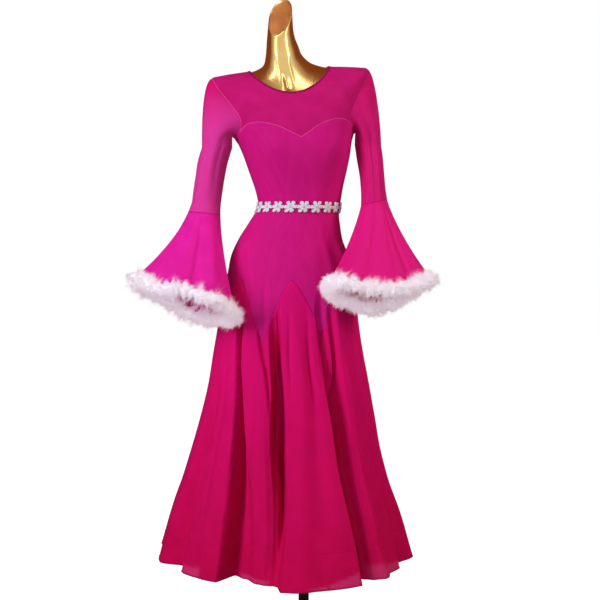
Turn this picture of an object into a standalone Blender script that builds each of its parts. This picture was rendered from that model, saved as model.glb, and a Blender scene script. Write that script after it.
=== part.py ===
"""Ballroom dance dress on a limbless dress form with a pole stand.

Frame: metres, +Z up, -Y is the front of the dress, +X the wearer's left-hand side.
The origin is the centre of the underside of the base, on the axis of the pole.

The body of the dress is one surface, dress_point(ring, angle): a stack of rings, each of
two half ellipses, with folds added below the hips. Every panel is a wall laid on a patch
of that surface, so neighbouring panels meet along shared seam lines.
"""
import math

import bmesh
import bpy
from mathutils import Vector

# ---------------------------------------------------------------- driving dimensions
WALL = 0.0012            # cloth wall
SEAM = 0.0003            # gap between two pieces at a seam
ZIGZAG_GAP = 0.0007      # height of the gap along the steep hip seams
ARMHOLE_GAP = 0.0009     # gap between an armhole's edge and the sleeve head
YAW = math.radians(8.0)  # the body is turned a little to +X
HEM_Z = 0.200            # floor clearance of the hem
HEM_BAND = 0.087         # height of the stiff band inside the hem
BAND_WALL = 0.0010
BAND_GAP = 0.0005
WAIST_Z = 1.068

FORM_BOTTOM_Z = 0.800
FORM_CLEAR = ((0.800, 0.028), (0.870, 0.012), (0.950, 0.0030), (1.230, 0.0030),
              (1.290, 0.0030), (1.600, 0.0030))   # ring height, depth below the cloth's face

POLE_RADIUS = 0.013
FLANGE_RADIUS = 0.045
FLANGE_HEIGHT = 0.010
BASE_RADIUS = 0.185
BASE_HEIGHT = 0.012
SOCKET_RADIUS = 0.024
SOCKET_HEIGHT = 0.040

FUR_RADIUS = 0.021       # reach of the marabou round the cuff's edge
FLOWERS = 20             # flowers in the belt
FLOWER_HEIGHT = 0.029
TRIM_GAP = 0.0006        # gap between a bell's edge and its trim
BELT_GAP = 0.0016
BELT_THICK = 0.0018
FLOWER_BOSS = 0.0030

# Rings of the body, hem to the top of the neck. A ring's front half leans from front_z
# at the centre front to side_z at the sides, and its back half to back_z.
# front_z, side_z, back_z, centre_x, half_width, front, back
BODY = (
    (0.2000, 0.2000, 0.2000, -0.0490, 0.3125, 0.3080, 0.3040),
    (0.3075, 0.3075, 0.3075, -0.0490, 0.2850, 0.2640, 0.2720),
    (0.3875, 0.3875, 0.3875, -0.0490, 0.2580, 0.2290, 0.2460),
    (0.4675, 0.4675, 0.4675, -0.0470, 0.2350, 0.2000, 0.2200),
    (0.5475, 0.5475, 0.5475, -0.0415, 0.2175, 0.1800, 0.2000),
    (0.6275, 0.6275, 0.6275, -0.0385, 0.2010, 0.1620, 0.1830),
    (0.7075, 0.7075, 0.7075, -0.0392, 0.1872, 0.1450, 0.1660),
    (0.7700, 0.7700, 0.7700, -0.0380, 0.1775, 0.1320, 0.1540),
    (0.8375, 0.8375, 0.8375, -0.0355, 0.1690, 0.1180, 0.1410),
    (0.9100, 0.9100, 0.9100, -0.0320, 0.1570, 0.1060, 0.1270),
    (0.9475, 0.9475, 0.9475, -0.0340, 0.1475, 0.1010, 0.1200),
    (0.9875, 0.9875, 0.9875, -0.0330, 0.1310, 0.0960, 0.1110),
    (1.0275, 1.0275, 1.0275, -0.0240, 0.1150, 0.0900, 0.0990),
    (1.0500, 1.0500, 1.0500, -0.0180, 0.1065, 0.0870, 0.0910),
    (1.0680, 1.0680, 1.0680, -0.0120, 0.1015, 0.0855, 0.0875),
    (1.0900, 1.0900, 1.0900, -0.0110, 0.1045, 0.0875, 0.0870),
    (1.1200, 1.1200, 1.1200, -0.0125, 0.1110, 0.0930, 0.0885),
    (1.1600, 1.1600, 1.1600, -0.0145, 0.1225, 0.1020, 0.0920),
    (1.2000, 1.2000, 1.2000, -0.0170, 0.1335, 0.1080, 0.0950),
    (1.2275, 1.2275, 1.2275, -0.0205, 0.1410, 0.1100, 0.0970),
    (1.2450, 1.2450, 1.2450, -0.0230, 0.1490, 0.1090, 0.0980),
    (1.2600, 1.2750, 1.2680, -0.0250, 0.1600, 0.1070, 0.0990),
    (1.2780, 1.3180, 1.3040, -0.0280, 0.1755, 0.1035, 0.0990),
    (1.2980, 1.3640, 1.3460, -0.0310, 0.1880, 0.0980, 0.0960),
    (1.3160, 1.3990, 1.3780, -0.0330, 0.1940, 0.0920, 0.0910),
    (1.3250, 1.4040, 1.3860, -0.0340, 0.1750, 0.0900, 0.0870),
    (1.3350, 1.4080, 1.3950, -0.0355, 0.1380, 0.0875, 0.0810),
    (1.3430, 1.4110, 1.4030, -0.0366, 0.1015, 0.0850, 0.0750),
    (1.3600, 1.4180, 1.4130, -0.0385, 0.0760, 0.0740, 0.0680),
    (1.3850, 1.4280, 1.4260, -0.0430, 0.0590, 0.0600, 0.0610),
    (1.4150, 1.4475, 1.4450, -0.0500, 0.0475, 0.0500, 0.0540),
    (1.4450, 1.4675, 1.4650, -0.0530, 0.0425, 0.0450, 0.0480),
    (1.4700, 1.4900, 1.4900, -0.0565, 0.0378, 0.0400, 0.0430),
    (1.4900, 1.5150, 1.5300, -0.0580, 0.0345, 0.0365, 0.0390),
    (1.5050, 1.5480, 1.5900, -0.0580, 0.0325, 0.0335, 0.0360),
)
PIT_RING = 1.2450        # ring through both armpits
SHOULDER_RING = 1.3160   # ring through both shoulder points
NECK_RING = 1.3430       # ring of the neckline
TILT_START, TILT_END, TILT = 1.12, 1.32, 0.080   # the shoulders rise towards +X
SHOULDER_BEND, ROUND_END = 1.6, 1.445            # rings round over the shoulders below this

# Bust cups: angle from the centre front, ring height, spread of both, depth.
CUP_ANGLE, CUP_Z = math.radians(34.0), 1.203
CUP_SPREAD_ANGLE, CUP_SPREAD_Z, CUP_DEPTH = math.radians(20.0), 0.040, 0.012

# Folds of the skirt, round from the centre front towards +X: one row per crest or hollow.
# angle at the hips, angle at the hem, height where it starts, rise at the hem
FOLDS = (
    (-9.0, -8.5, 0.66, 0.047),
    (2.0, 4.0, 0.62, 0.052),
    (8.0, 9.0, 0.50, 0.032),
    (16.0, 17.0, 0.56, 0.040),
    (27.0, 29.0, 0.74, 0.004),
    (38.0, 38.0, 0.64, 0.040),
    (48.0, 46.0, 0.52, 0.008),
    (54.0, 52.0, 0.50, 0.018),
    (61.0, 60.0, 0.58, -0.014),
    (74.0, 74.0, 0.58, 0.012),
    (86.0, 84.0, 0.62, 0.000),
    (100.0, 100.0, 0.56, 0.012),
    (114.0, 113.0, 0.62, -0.030),
    (127.0, 128.0, 0.66, 0.034),
    (144.0, 144.0, 0.74, -0.036),
    (160.0, 160.0, 0.66, 0.040),
    (171.0, 171.0, 0.54, 0.012),
    (183.0, 184.0, 0.64, 0.042),
    (200.0, 200.0, 0.74, -0.034),
    (216.0, 215.0, 0.62, 0.030),
    (229.0, 229.0, 0.62, -0.024),
    (243.0, 243.0, 0.60, 0.026),
    (256.0, 256.0, 0.56, -0.006),
    (266.0, 264.0, 0.60, 0.000),
    (284.0, 280.0, 0.56, 0.006),
    (292.0, 291.0, 0.60, -0.034),
    (300.0, 301.0, 0.62, -0.002),
    (311.0, 311.0, 0.60, -0.008),
    (319.0, 320.0, 0.86, -0.046),
    (334.0, 344.5, 0.76, -0.040),
)
FOLD_TOP_Z = 0.86
FOLD_GROWTH = 1.25

# Hip seam: godet tips point up, body panels point down. angle, height
ZIGZAG = ((0.0, 0.891), (27.0, 0.757), (57.0, 0.896), (90.0, 0.755), (123.0, 0.893),
          (150.0, 0.755), (180.0, 0.893), (210.0, 0.755), (237.0, 0.893), (270.0, 0.755),
          (305.0, 0.900), (337.5, 0.753), (360.0, 0.891))
# Skirt seams between godets: angle at the hip point, angle at the hem.
GODET_SEAMS = ((-22.5, -14.5), (27.0, 29.0), (90.0, 90.0), (150.0, 149.0), (210.0, 209.0),
               (270.0, 270.0), (337.5, 345.5))
GODET_SEAM_Z = 0.755
GODET_LEVELS = (0.0, 0.09, 0.21, 0.35, 0.50, 0.66, 0.83, 1.0)   # tip to hem band

# Sweetheart seam across the front. angle, height
SWEETHEART = ((0.0, 1.2345), (8.0, 1.2465), (20.0, 1.2665), (30.0, 1.2745), (37.0, 1.2765),
              (47.0, 1.2735), (57.0, 1.2655), (66.0, 1.2570))
# Armholes: ring, angle from the centre front, angle from the centre back.
ARMHOLE = ((1.2450, 90.0, 90.0), (1.2485, 76.0, 78.0), (1.2525, 66.0, 70.0),
           (1.2620, 57.0, 64.0), (1.2740, 53.0, 61.0), (1.2880, 57.0, 63.0),
           (1.3020, 67.0, 70.0), (1.3110, 78.0, 79.0), (1.3160, 90.0, 90.0))
YOKE_RING = 1.2525       # ring where the yoke seam meets the armhole
BODICE_LEVELS = (0.950, 0.990, 1.020, 1.045, 1.0645, 1.083, 1.108, 1.150, 1.190)

# Sleeve rings, shoulder to elbow: z, x, y, half_width, half_depth
SLEEVE_RINGS = {
    "left": ((1.215, -0.2135, -0.027, 0.0375, 0.048), (1.180, -0.2240, -0.028, 0.0372, 0.047),
             (1.145, -0.2305, -0.029, 0.0360, 0.046), (1.110, -0.2360, -0.030, 0.0358, 0.045),
             (1.080, -0.2400, -0.031, 0.0355, 0.044)),
    "right": ((1.225, 0.1610, 0.025, 0.0330, 0.047), (1.187, 0.1660, 0.017, 0.0325, 0.046),
              (1.148, 0.1705, 0.008, 0.0305, 0.045), (1.110, 0.1730, -0.004, 0.0305, 0.044),
              (1.080, 0.1745, -0.016, 0.0325, 0.043)),
}
SLEEVE_HEAD_STEPS = (0.10, 0.26, 0.48, 0.74)
HEAD_REACH = 0.080       # how boldly the sleeve head stands out at the shoulder
PIT_REACH = 0.020
HEAD_DROP = 0.120
HEAD_SLOPE = 0.20        # how steeply the sleeve head leaves the shoulder seam

# Bell cuffs: centre and half axes of the edge, and how the edge is turned.
BELLS = {
    "left": {"x": -0.2840, "y": -0.148, "z": 0.836, "half_width": 0.122, "half_depth": 0.085,
             "roll": 0.26, "pitch": 0.34, "yaw": -12.0, "saddle": 0.008, "elbow_roll": 0.08,
             "flare": 1.4,
             "waves": ((0, 0.02), (32, -0.05), (62, 0.05), (98, -0.04), (128, 0.05),
                       (168, -0.02), (205, 0.05), (240, -0.05), (280, 0.05), (322, -0.05))},
    "right": {"x": 0.1796, "y": -0.150, "z": 0.848, "half_width": 0.126, "half_depth": 0.072,
              "roll": 0.02, "pitch": 0.36, "yaw": 10.0, "saddle": 0.040, "elbow_roll": 0.20,
              "flare": 1.15,
              "waves": ((0, 0.02), (36, -0.04), (70, 0.05), (102, -0.05), (136, 0.04),
                        (172, -0.02), (210, 0.05), (248, -0.05), (286, 0.05), (326, -0.04))},
}
BELL_LEAN = 1.4
BELL_COLUMNS = 30
BELL_ROWS = 5

COLOURS = {              # sRGB hex, roughness, metallic
    "dress_form": ("C9952E", 0.18, 1.0),
    "stand": ("4A3420", 0.30, 1.0),
    "satin": ("C9187A", 0.45, 0.0),
    "mesh": ("B5195F", 0.70, 0.0),
    "bell": ("E41D8E", 0.50, 0.0),
    "crepe": ("CF1060", 0.65, 0.0),
    "marabou": ("F4EAF0", 0.90, 0.0),
    "guipure": ("F7F5FA", 0.70, 0.0),
}


# ---------------------------------------------------------------- curves and tables
def hermite(p0, m0, p1, m1, t):
    """Cubic from p0 to p1 with end tangents m0 and m1."""
    return (p0 * (2 * t**3 - 3 * t**2 + 1) + m0 * (t**3 - 2 * t**2 + t)
            + p1 * (3 * t**2 - 2 * t**3) + m1 * (t**3 - t**2))


def smooth_lookup(table, key, column):
    """Value of a column at key, on a smooth curve through the table's rows."""
    key = min(max(key, table[0][0]), table[-1][0])
    last = len(table) - 2
    i = next((n for n in range(last) if key <= table[n + 1][0]), last)

    def slope(n):
        low, high = max(n - 1, 0), min(n + 1, len(table) - 1)
        return (table[high][column] - table[low][column]) / (table[high][0] - table[low][0])

    span = table[i + 1][0] - table[i][0]
    return hermite(table[i][column], slope(i) * span, table[i + 1][column],
                   slope(i + 1) * span, (key - table[i][0]) / span)


def linear_lookup(table, key, column=1):
    """Value of a column at key, on straight lines between the table's rows."""
    key = min(max(key, table[0][0]), table[-1][0])
    for low, high in zip(table, table[1:]):
        if key <= high[0]:
            share = (key - low[0]) / (high[0] - low[0])
            return low[column] + (high[column] - low[column]) * share
    return table[-1][column]


def wave(rows, angle):
    """Smooth closed wave through (angle in degrees, value) rows that run once round."""
    rows = list(rows) + [(rows[0][0] + 360.0, rows[0][1])]
    angle = (angle - rows[0][0]) % 360.0 + rows[0][0]
    for (a0, v0), (a1, v1) in zip(rows, rows[1:]):
        if angle <= a1:
            share = (angle - a0) / (a1 - a0)
            return v0 + (v1 - v0) * share * share * (3 - 2 * share)
    return rows[-1][1]


def lerp(a, b, share):
    return a + (b - a) * share


def subdivide(anchors, step):
    """Angles through all anchors, no further apart than step."""
    angles = [anchors[0]]
    for low, high in zip(anchors, anchors[1:]):
        parts = max(1, math.ceil((high - low) / step - 1e-6))
        angles += [lerp(low, high, (n + 1) / parts) for n in range(parts)]
    return angles


# ---------------------------------------------------------------- surface of the dress
def fold_rise(z, angle):
    """Outward shift of the skirt at height z, at an angle in degrees."""
    if z >= FOLD_TOP_Z:
        return 0.0
    drop = (FOLD_TOP_Z - z) / (FOLD_TOP_Z - HEM_Z)
    rows = []
    for top_angle, hem_angle, start_z, rise in FOLDS:
        depth = max(0.0, (start_z - z) / (start_z - HEM_Z))
        rows.append((lerp(top_angle, hem_angle, drop), rise * depth**FOLD_GROWTH))
    return wave(rows, angle)


def bend_at(ring):
    """Power that rounds a leaning ring over the shoulders; 1 leaves its halves flat."""
    share = min(max((ring - ROUND_END) / (BODY[-1][0] - ROUND_END), 0.0), 1.0)
    return lerp(SHOULDER_BEND, 1.0, share)


def ring_point(ring, angle, grow=0.0):
    """Point of a plain ring at an angle in degrees, the half axes longer by grow."""
    turn = math.radians(angle)
    side, ahead = math.sin(turn), math.cos(turn)
    half = 0 if ahead > 0 else 1
    depth = smooth_lookup(BODY, ring, 5 + half) + grow
    half_width = smooth_lookup(BODY, ring, 4) + grow
    side_z = smooth_lookup(BODY, ring, 1)
    end_z = ring if half == 0 else smooth_lookup(BODY, ring, 2)
    x, y = half_width * side, -depth * ahead
    tilt = TILT * min(max((ring - TILT_START) / (TILT_END - TILT_START), 0.0), 1.0)
    z = lerp(side_z, end_z, abs(ahead)**bend_at(ring)) + tilt * x
    centre_x = smooth_lookup(BODY, ring, 3)
    return Vector((centre_x + x * math.cos(YAW) - y * math.sin(YAW),
                   x * math.sin(YAW) + y * math.cos(YAW), z))


def cup_depth(ring, angle):
    """Outward shift of the bust cups."""
    turn = abs((math.radians(angle) + math.pi) % (2 * math.pi) - math.pi)
    across = (turn - CUP_ANGLE) / CUP_SPREAD_ANGLE
    up = (ring - CUP_Z) / CUP_SPREAD_Z
    return CUP_DEPTH * math.exp(-across * across - up * up)


def dress_point(ring, angle):
    """Outer face of the dress body, hem to neckline."""
    return ring_point(ring, angle, fold_rise(ring, angle) + cup_depth(ring, angle))


def normal_at(surface, ring, angle):
    """Outward normal of a surface(ring, angle)."""
    along = surface(ring, angle + 0.05) - surface(ring, angle - 0.05)
    up = surface(ring + 0.0005, angle) - surface(ring - 0.0005, angle)
    return along.cross(up).normalized()


def angle_of(distance, ring, angle):
    """Degrees that move a point of the dress by a distance round its ring."""
    return distance * 0.1 / (dress_point(ring, angle + 0.05)
                             - dress_point(ring, angle - 0.05)).length


def ring_at_height(z, angle):
    """Ring that passes through height z at an angle, the shoulders' tilt apart."""
    low, high = BODY[0][0], NECK_RING
    ahead = abs(math.cos(math.radians(angle)))
    for _ in range(30):
        middle = (low + high) / 2
        if lerp(smooth_lookup(BODY, middle, 1), middle, ahead**bend_at(middle)) < z:
            low = middle
        else:
            high = middle
    return (low + high) / 2


# ---------------------------------------------------------------- mesh helpers
def material(name):
    """Principled material of a named finish."""
    if name in bpy.data.materials:
        return bpy.data.materials[name]
    code, roughness, metallic = COLOURS[name]
    channels = [int(code[n:n + 2], 16) / 255 for n in (0, 2, 4)]
    linear = [c / 12.92 if c <= 0.04045 else ((c + 0.055) / 1.055)**2.4 for c in channels]
    result = bpy.data.materials.new(name)
    result.use_nodes = True
    shader = result.node_tree.nodes["Principled BSDF"]
    shader.inputs["Base Color"].default_value = (*linear, 1.0)
    shader.inputs["Roughness"].default_value = roughness
    shader.inputs["Metallic"].default_value = metallic
    return result


def make_object(name, finish, points, faces):
    """Object from points and faces, normals out, round faces shaded smooth."""
    mesh = bpy.data.meshes.new(name)
    bm = bmesh.new()
    verts = [bm.verts.new(point) for point in points]
    for face in faces:
        bm.faces.new([verts[index] for index in face])
    bmesh.ops.recalc_face_normals(bm, faces=bm.faces)
    bm.to_mesh(mesh)
    bm.free()
    mesh.shade_smooth()
    mesh.set_sharp_from_angle(angle=math.radians(50.0))
    mesh.materials.append(material(finish))
    result = bpy.data.objects.new(name, mesh)
    bpy.context.scene.collection.objects.link(result)
    return result


def grid_faces(rows, columns, closed, start, flip):
    """Triangles of a grid whose points are numbered row by row from start."""
    faces = []
    for i in range(rows - 1):
        for j in range(columns if closed else columns - 1):
            k = (j + 1) % columns
            a, b = start + i * columns + j, start + i * columns + k
            c, d = a + columns, b + columns
            faces += [(a, d, b), (a, c, d)] if flip else [(a, b, d), (a, d, c)]
    return faces


def rim_faces(outer, inner):
    """Triangles between two matching chains of point numbers."""
    faces = []
    for n in range(len(outer) - 1):
        faces += [(outer[n], outer[n + 1], inner[n + 1]), (outer[n], inner[n + 1], inner[n])]
    return faces


def make_wall(name, finish, points, normals, thickness=WALL, closed=False):
    """Cloth wall under a grid of outer points; a closed grid runs round on itself."""
    rows, columns = len(points), len(points[0])
    count = rows * columns
    outer = [p for row in points for p in row]
    inner = [p - n * thickness for p, n in zip(outer, (n for row in normals for n in row))]
    faces = grid_faces(rows, columns, closed, 0, False)
    faces += grid_faces(rows, columns, closed, count, True)
    chains = [[j for j in range(columns)], [(rows - 1) * columns + j for j in range(columns)]]
    if closed:
        chains = [chain + chain[:1] for chain in chains]
    else:
        chains += [[i * columns for i in range(rows)],
                   [i * columns + columns - 1 for i in range(rows)]]
    for chain in chains:
        faces += rim_faces(chain, [index + count for index in chain])
    return make_object(name, finish, outer + inner, faces)


def make_panel(name, finish, places, **options):
    """Cloth wall on the dress, from rows of (ring, angle) places."""
    points = [[dress_point(*place) for place in row] for row in places]
    normals = [[normal_at(dress_point, *place) for place in row] for row in places]
    return make_wall(name, finish, points, normals, **options)


def grid_normals(points):
    """Normals of a grid that closes round each row, from its own neighbours."""
    rows, columns = len(points), len(points[0])
    normals = []
    for i in range(rows):
        below, above = points[max(i - 1, 0)], points[min(i + 1, rows - 1)]
        normals.append([
            (points[i][(j + 1) % columns] - points[i][j - 1]).cross(above[j] - below[j])
            .normalized() for j in range(columns)])
    return normals


def make_solid(name, finish, rings):
    """Closed solid through rings of points, bottom to top, with a flat cap at each end."""
    columns = len(rings[0])
    points = [p for ring in rings for p in ring]
    faces = grid_faces(len(rings), columns, True, 0, False)
    for ring, start in ((rings[0], 0), (rings[-1], (len(rings) - 1) * columns)):
        points.append(sum(ring, Vector()) / columns)
        hub = len(points) - 1
        faces += [(start + j, start + (j + 1) % columns, hub) for j in range(columns)]
    return make_object(name, finish, points, faces)


def circle(radius, z, sides):
    return [Vector((radius * math.cos(2 * math.pi * n / sides),
                    radius * math.sin(2 * math.pi * n / sides), z)) for n in range(sides)]


# ---------------------------------------------------------------- form and stand
def build_form():
    """Limbless torso with a neck cut at a slant, a little smaller than the dress."""
    levels = [FORM_BOTTOM_Z, 0.835, 0.870, 0.910, *BODICE_LEVELS, 1.2150, 1.2350]
    levels += [row[0] for row in BODY if row[0] > PIT_RING - 0.0001]
    sides = 24
    rings = []
    for level in levels:
        depth = linear_lookup(FORM_CLEAR, level)
        ring = []
        for n in range(sides):
            angle = 360.0 * n / sides
            grow = cup_depth(level, angle) - depth
            ring.append(ring_point(level, angle, grow) - Vector((0, 0, drop_of(level, depth))))
        rings.append(ring)
    make_solid("dress_form", "dress_form", rings)


def drop_of(level, depth):
    """Lowering of the form's shoulders, which lie under cloth that is nearly level."""
    share = min(max((level - PIT_RING) / (SHOULDER_RING - PIT_RING), 0.0), 1.0)
    return depth * share


def build_stand():
    """Round base with a socket, and a pole with a flange under the form."""
    sides = 36
    edge = 0.004
    base = [circle(BASE_RADIUS - 0.001, 0.0, sides), circle(BASE_RADIUS, 0.001, sides),
            circle(BASE_RADIUS, BASE_HEIGHT - edge, sides),
            circle(BASE_RADIUS - edge / 3, BASE_HEIGHT - edge / 3, sides),
            circle(BASE_RADIUS - edge, BASE_HEIGHT, sides),
            circle(SOCKET_RADIUS + edge, BASE_HEIGHT, sides),
            circle(SOCKET_RADIUS, BASE_HEIGHT + edge, sides),
            circle(SOCKET_RADIUS - 0.002, SOCKET_HEIGHT, sides)]
    make_solid("stand_base", "stand", base)
    top = FORM_BOTTOM_Z - SEAM
    pole_sides = 24
    pole = [circle(POLE_RADIUS, SOCKET_HEIGHT + SEAM, pole_sides),
            circle(POLE_RADIUS, top - FLANGE_HEIGHT * 3, pole_sides),
            circle(POLE_RADIUS * 1.5, top - FLANGE_HEIGHT, pole_sides),
            circle(FLANGE_RADIUS, top - FLANGE_HEIGHT * 0.6, pole_sides),
            circle(FLANGE_RADIUS, top, pole_sides)]
    make_solid("stand_pole", "stand", pole)


# ---------------------------------------------------------------- bodice and yoke
def armhole_angle(ring, column):
    """Angle of the armhole's edge on a ring, from the centre front (1) or back (2)."""
    return smooth_lookup(ARMHOLE, ring, column) if ring < SHOULDER_RING else 90.0


def yoke_seam_ring(angle, column):
    """Ring of the seam between bodice and yoke: sweetheart in front, level behind."""
    if column == 2:
        return YOKE_RING
    return ring_at_height(smooth_lookup(SWEETHEART, abs(angle), 1), angle)


def bodice_top_ring(angle, column):
    """Ring of the bodice's top edge: the yoke seam, then round under the armhole."""
    edge = armhole_angle(YOKE_RING, column)
    if abs(angle) <= edge + 0.001:
        return yoke_seam_ring(angle, column)
    under = [(-row[column], row[0]) for row in ARMHOLE if row[0] <= YOKE_RING]
    return linear_lookup(under, -abs(angle))


def front_columns():
    return subdivide((-90.0, -66.0, -55.0, -22.5, 0.0, 27.0, 57.0, 66.0, 90.0), 8.6)


def back_columns():
    return subdivide((-90.0, -70.0, -57.0, -30.0, 0.0, 30.0, 57.0, 70.0, 90.0), 10.5)


def place_on_body(ring, angle, column):
    """(ring, angle) of a place measured from the centre front (1) or back (2)."""
    return (ring, angle if column == 1 else angle + 180.0)


def seam_trimmed(ring, angle, column):
    """A side seam's place, moved off the seam by half its gap."""
    if abs(angle) < 89.9:
        return angle
    trim = angle_of(SEAM / 2, *place_on_body(ring, angle, column))
    return math.copysign(90.0 - trim, angle)


def build_bodice(name, columns, column):
    """Fitted panel from the zigzag hip seam to the yoke seam and the armholes."""
    lowest, highest = BODICE_LEVELS[0], BODICE_LEVELS[-1]
    bottom = [linear_lookup(ZIGZAG, place_on_body(0, a, column)[1] % 360.0) + ZIGZAG_GAP / 2
              for a in columns]
    top = [bodice_top_ring(a, column) - SEAM / 2 for a in columns]
    rows = [[lerp(z, lowest, share) for z in bottom] for share in (0.0, 1 / 3, 2 / 3)]
    rows += [[level] * len(columns) for level in BODICE_LEVELS[:-1]]
    rows += [[lerp(highest, z, share) for z in top] for share in (0.0, 1 / 3, 2 / 3, 1.0)]
    places = [[place_on_body(ring, seam_trimmed(ring, a, column), column)
               for ring, a in zip(row, columns)] for row in rows]
    make_panel(name, "satin", places)


def yoke_rows():
    """Rings where the yoke's rows meet its side edge: armhole, then shoulder seam."""
    armhole = [row[0] for row in ARMHOLE if row[0] >= YOKE_RING]
    return armhole + [1.3250, 1.3350, NECK_RING]


def build_yoke(name, columns, column):
    """Mesh yoke from the yoke seam to the neckline."""
    edge = armhole_angle(YOKE_RING, column)
    inside = [a for a in columns if abs(a) <= edge + 0.001]
    places = []
    for ring in yoke_rows():
        share = (ring - YOKE_RING) / (NECK_RING - YOKE_RING)
        limit = armhole_angle(ring, column)
        row = []
        for a in inside:
            start = yoke_seam_ring(a, column) + SEAM / 2
            spot = lerp(start, NECK_RING, share)
            angle = seam_trimmed(spot, a / edge * limit, column)
            row.append(place_on_body(spot, angle, column))
        places.append(row)
    make_panel(name, "mesh", places)


# ---------------------------------------------------------------- sleeves and bells
def armhole_places(side):
    """(ring, angle) places round an armhole: shoulder, front, armpit, back."""
    sign = 1.0 if side == "right" else -1.0
    rings = [row[0] for row in ARMHOLE if row[0] >= YOKE_RING]
    under_front = [a for a in front_columns() if a > 66.001]
    under_back = [a for a in back_columns() if 70.001 < a < 89.9]
    front = [(ring, armhole_angle(ring, 1)) for ring in reversed(rings)]
    front += [(bodice_top_ring(a, 1), a) for a in under_front]
    back = [(bodice_top_ring(a, 2), 180.0 - a) for a in reversed(under_back)]
    back += [(ring, 180.0 - armhole_angle(ring, 2)) for ring in rings[:-1]]
    return [(ring, sign * angle) for ring, angle in front + back]


def sleeve_ring(side, row, turn):
    """Point of a sleeve ring; turn 0 is the outer side and 90 degrees the front."""
    sign = 1.0 if side == "right" else -1.0
    z, x, y, half_width, half_depth = row
    out = half_width * math.cos(turn)
    roll = BELLS[side]["elbow_roll"] * (1.225 - z) / 0.145
    return Vector((x + sign * out, y - half_depth * math.sin(turn), z + roll * out))


def build_sleeve(side):
    """Set-in sleeve from the armhole to the elbow seam."""
    sign = 1.0 if side == "right" else -1.0
    places = armhole_places(side)
    edge = [dress_point(*place) for place in places]
    body_normals = [normal_at(dress_point, *place) for place in places]
    outward = Vector((sign * math.cos(YAW), sign * math.sin(YAW), 0.0))
    hub = sum(edge, Vector()) / len(edge) + outward * 0.060
    start = [p + (hub - p).normalized() * ARMHOLE_GAP for p in edge]
    turns = [2 * math.pi * n / len(edge) for n in range(len(edge))]
    first = [sleeve_ring(side, SLEEVE_RINGS[side][0], turn) for turn in turns]
    rows = [start]
    for share in SLEEVE_HEAD_STEPS:
        row = []
        for p, q, turn in zip(start, first, turns):
            top = (1 + math.cos(turn)) / 2
            leave = (outward - Vector((0, 0, HEAD_SLOPE * top))) * lerp(PIT_REACH, HEAD_REACH, top)
            row.append(hermite(p, leave, q, Vector((0, 0, -HEAD_DROP)), share))
        rows.append(row)
    rows += [[sleeve_ring(side, ring, turn) for turn in turns] for ring in SLEEVE_RINGS[side]]
    if side == "right":
        rows = [row[:1] + row[:0:-1] for row in rows]
        body_normals = body_normals[:1] + body_normals[:0:-1]
    normals = grid_normals(rows)
    if (rows[-1][0] - sum(rows[-1], Vector()) / len(turns)).dot(normals[-1][0]) < 0:
        normals = [[-n for n in row] for row in normals]
    normals[0] = [(n + b).normalized() if n.dot(b) > 0.3 else n
                  for n, b in zip(normals[0], body_normals)]
    make_wall(f"sleeve_{side}", "mesh", rows, normals, closed=True)


def bell_point(side, share, turn):
    """Point of a bell: share 0 at the elbow, 1 at its edge; turn 0 is the outer side."""
    sign = 1.0 if side == "right" else -1.0
    bell = BELLS[side]
    z, x, y, half_width, half_depth = SLEEVE_RINGS[side][-1]
    flare = share**bell["flare"]
    swell = 1.0 + wave(bell["waves"], math.degrees(turn)) * share * share
    out = lerp(half_width, bell["half_width"], flare) * math.cos(turn) * swell
    ahead = lerp(half_depth, bell["half_depth"], flare) * math.sin(turn) * swell
    yaw = math.radians(bell["yaw"]) * share
    centre = Vector((lerp(x, bell["x"], share), lerp(y, bell["y"], share**BELL_LEAN),
                     lerp(z - SEAM, bell["z"], share)))
    rise = out * lerp(bell["elbow_roll"], bell["roll"], share) + ahead * bell["pitch"] * share
    rise += bell["saddle"] * (share * math.cos(turn))**2
    across = sign * out
    return centre + Vector((across * math.cos(yaw) + ahead * math.sin(yaw),
                            across * math.sin(yaw) - ahead * math.cos(yaw), rise))


def bell_turns():
    """Even angles round a bell, from its outer side."""
    return [2 * math.pi * n / BELL_COLUMNS for n in range(BELL_COLUMNS)]


def distance_to_loop(point, loop):
    """Distance from a point to a closed chain of points."""
    nearest = 1.0
    for a, b in zip(loop, loop[1:] + loop[:1]):
        span = b - a
        share = min(max((point - a).dot(span) / span.length_squared, 0.0), 1.0)
        nearest = min(nearest, (point - a - span * share).length)
    return nearest


def bell_end(side, turn, edge):
    """Share at which a bell's wall meets the trim that runs round its edge."""
    low, high = 0.5, 1.0
    for _ in range(14):
        middle = (low + high) / 2
        if distance_to_loop(bell_point(side, middle, turn), edge) > FUR_RADIUS + TRIM_GAP:
            low = middle
        else:
            high = middle
    return low


def build_bell(side):
    """Flared cuff from the elbow seam to the marabou."""
    turns = bell_turns()
    edge = [bell_point(side, 1.0, turn) for turn in turns]
    ends = [bell_end(side, turn, edge) for turn in turns]
    rows = [[bell_point(side, end * row / BELL_ROWS, turn) for end, turn in zip(ends, turns)]
            for row in range(BELL_ROWS + 1)]
    normals = grid_normals(rows)
    if (rows[0][0] - sum(rows[0], Vector()) / len(turns)).dot(normals[0][0]) < 0:
        normals = [[-n for n in row] for row in normals]
    make_wall(f"bell_{side}", "bell", rows, normals, closed=True)


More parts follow.
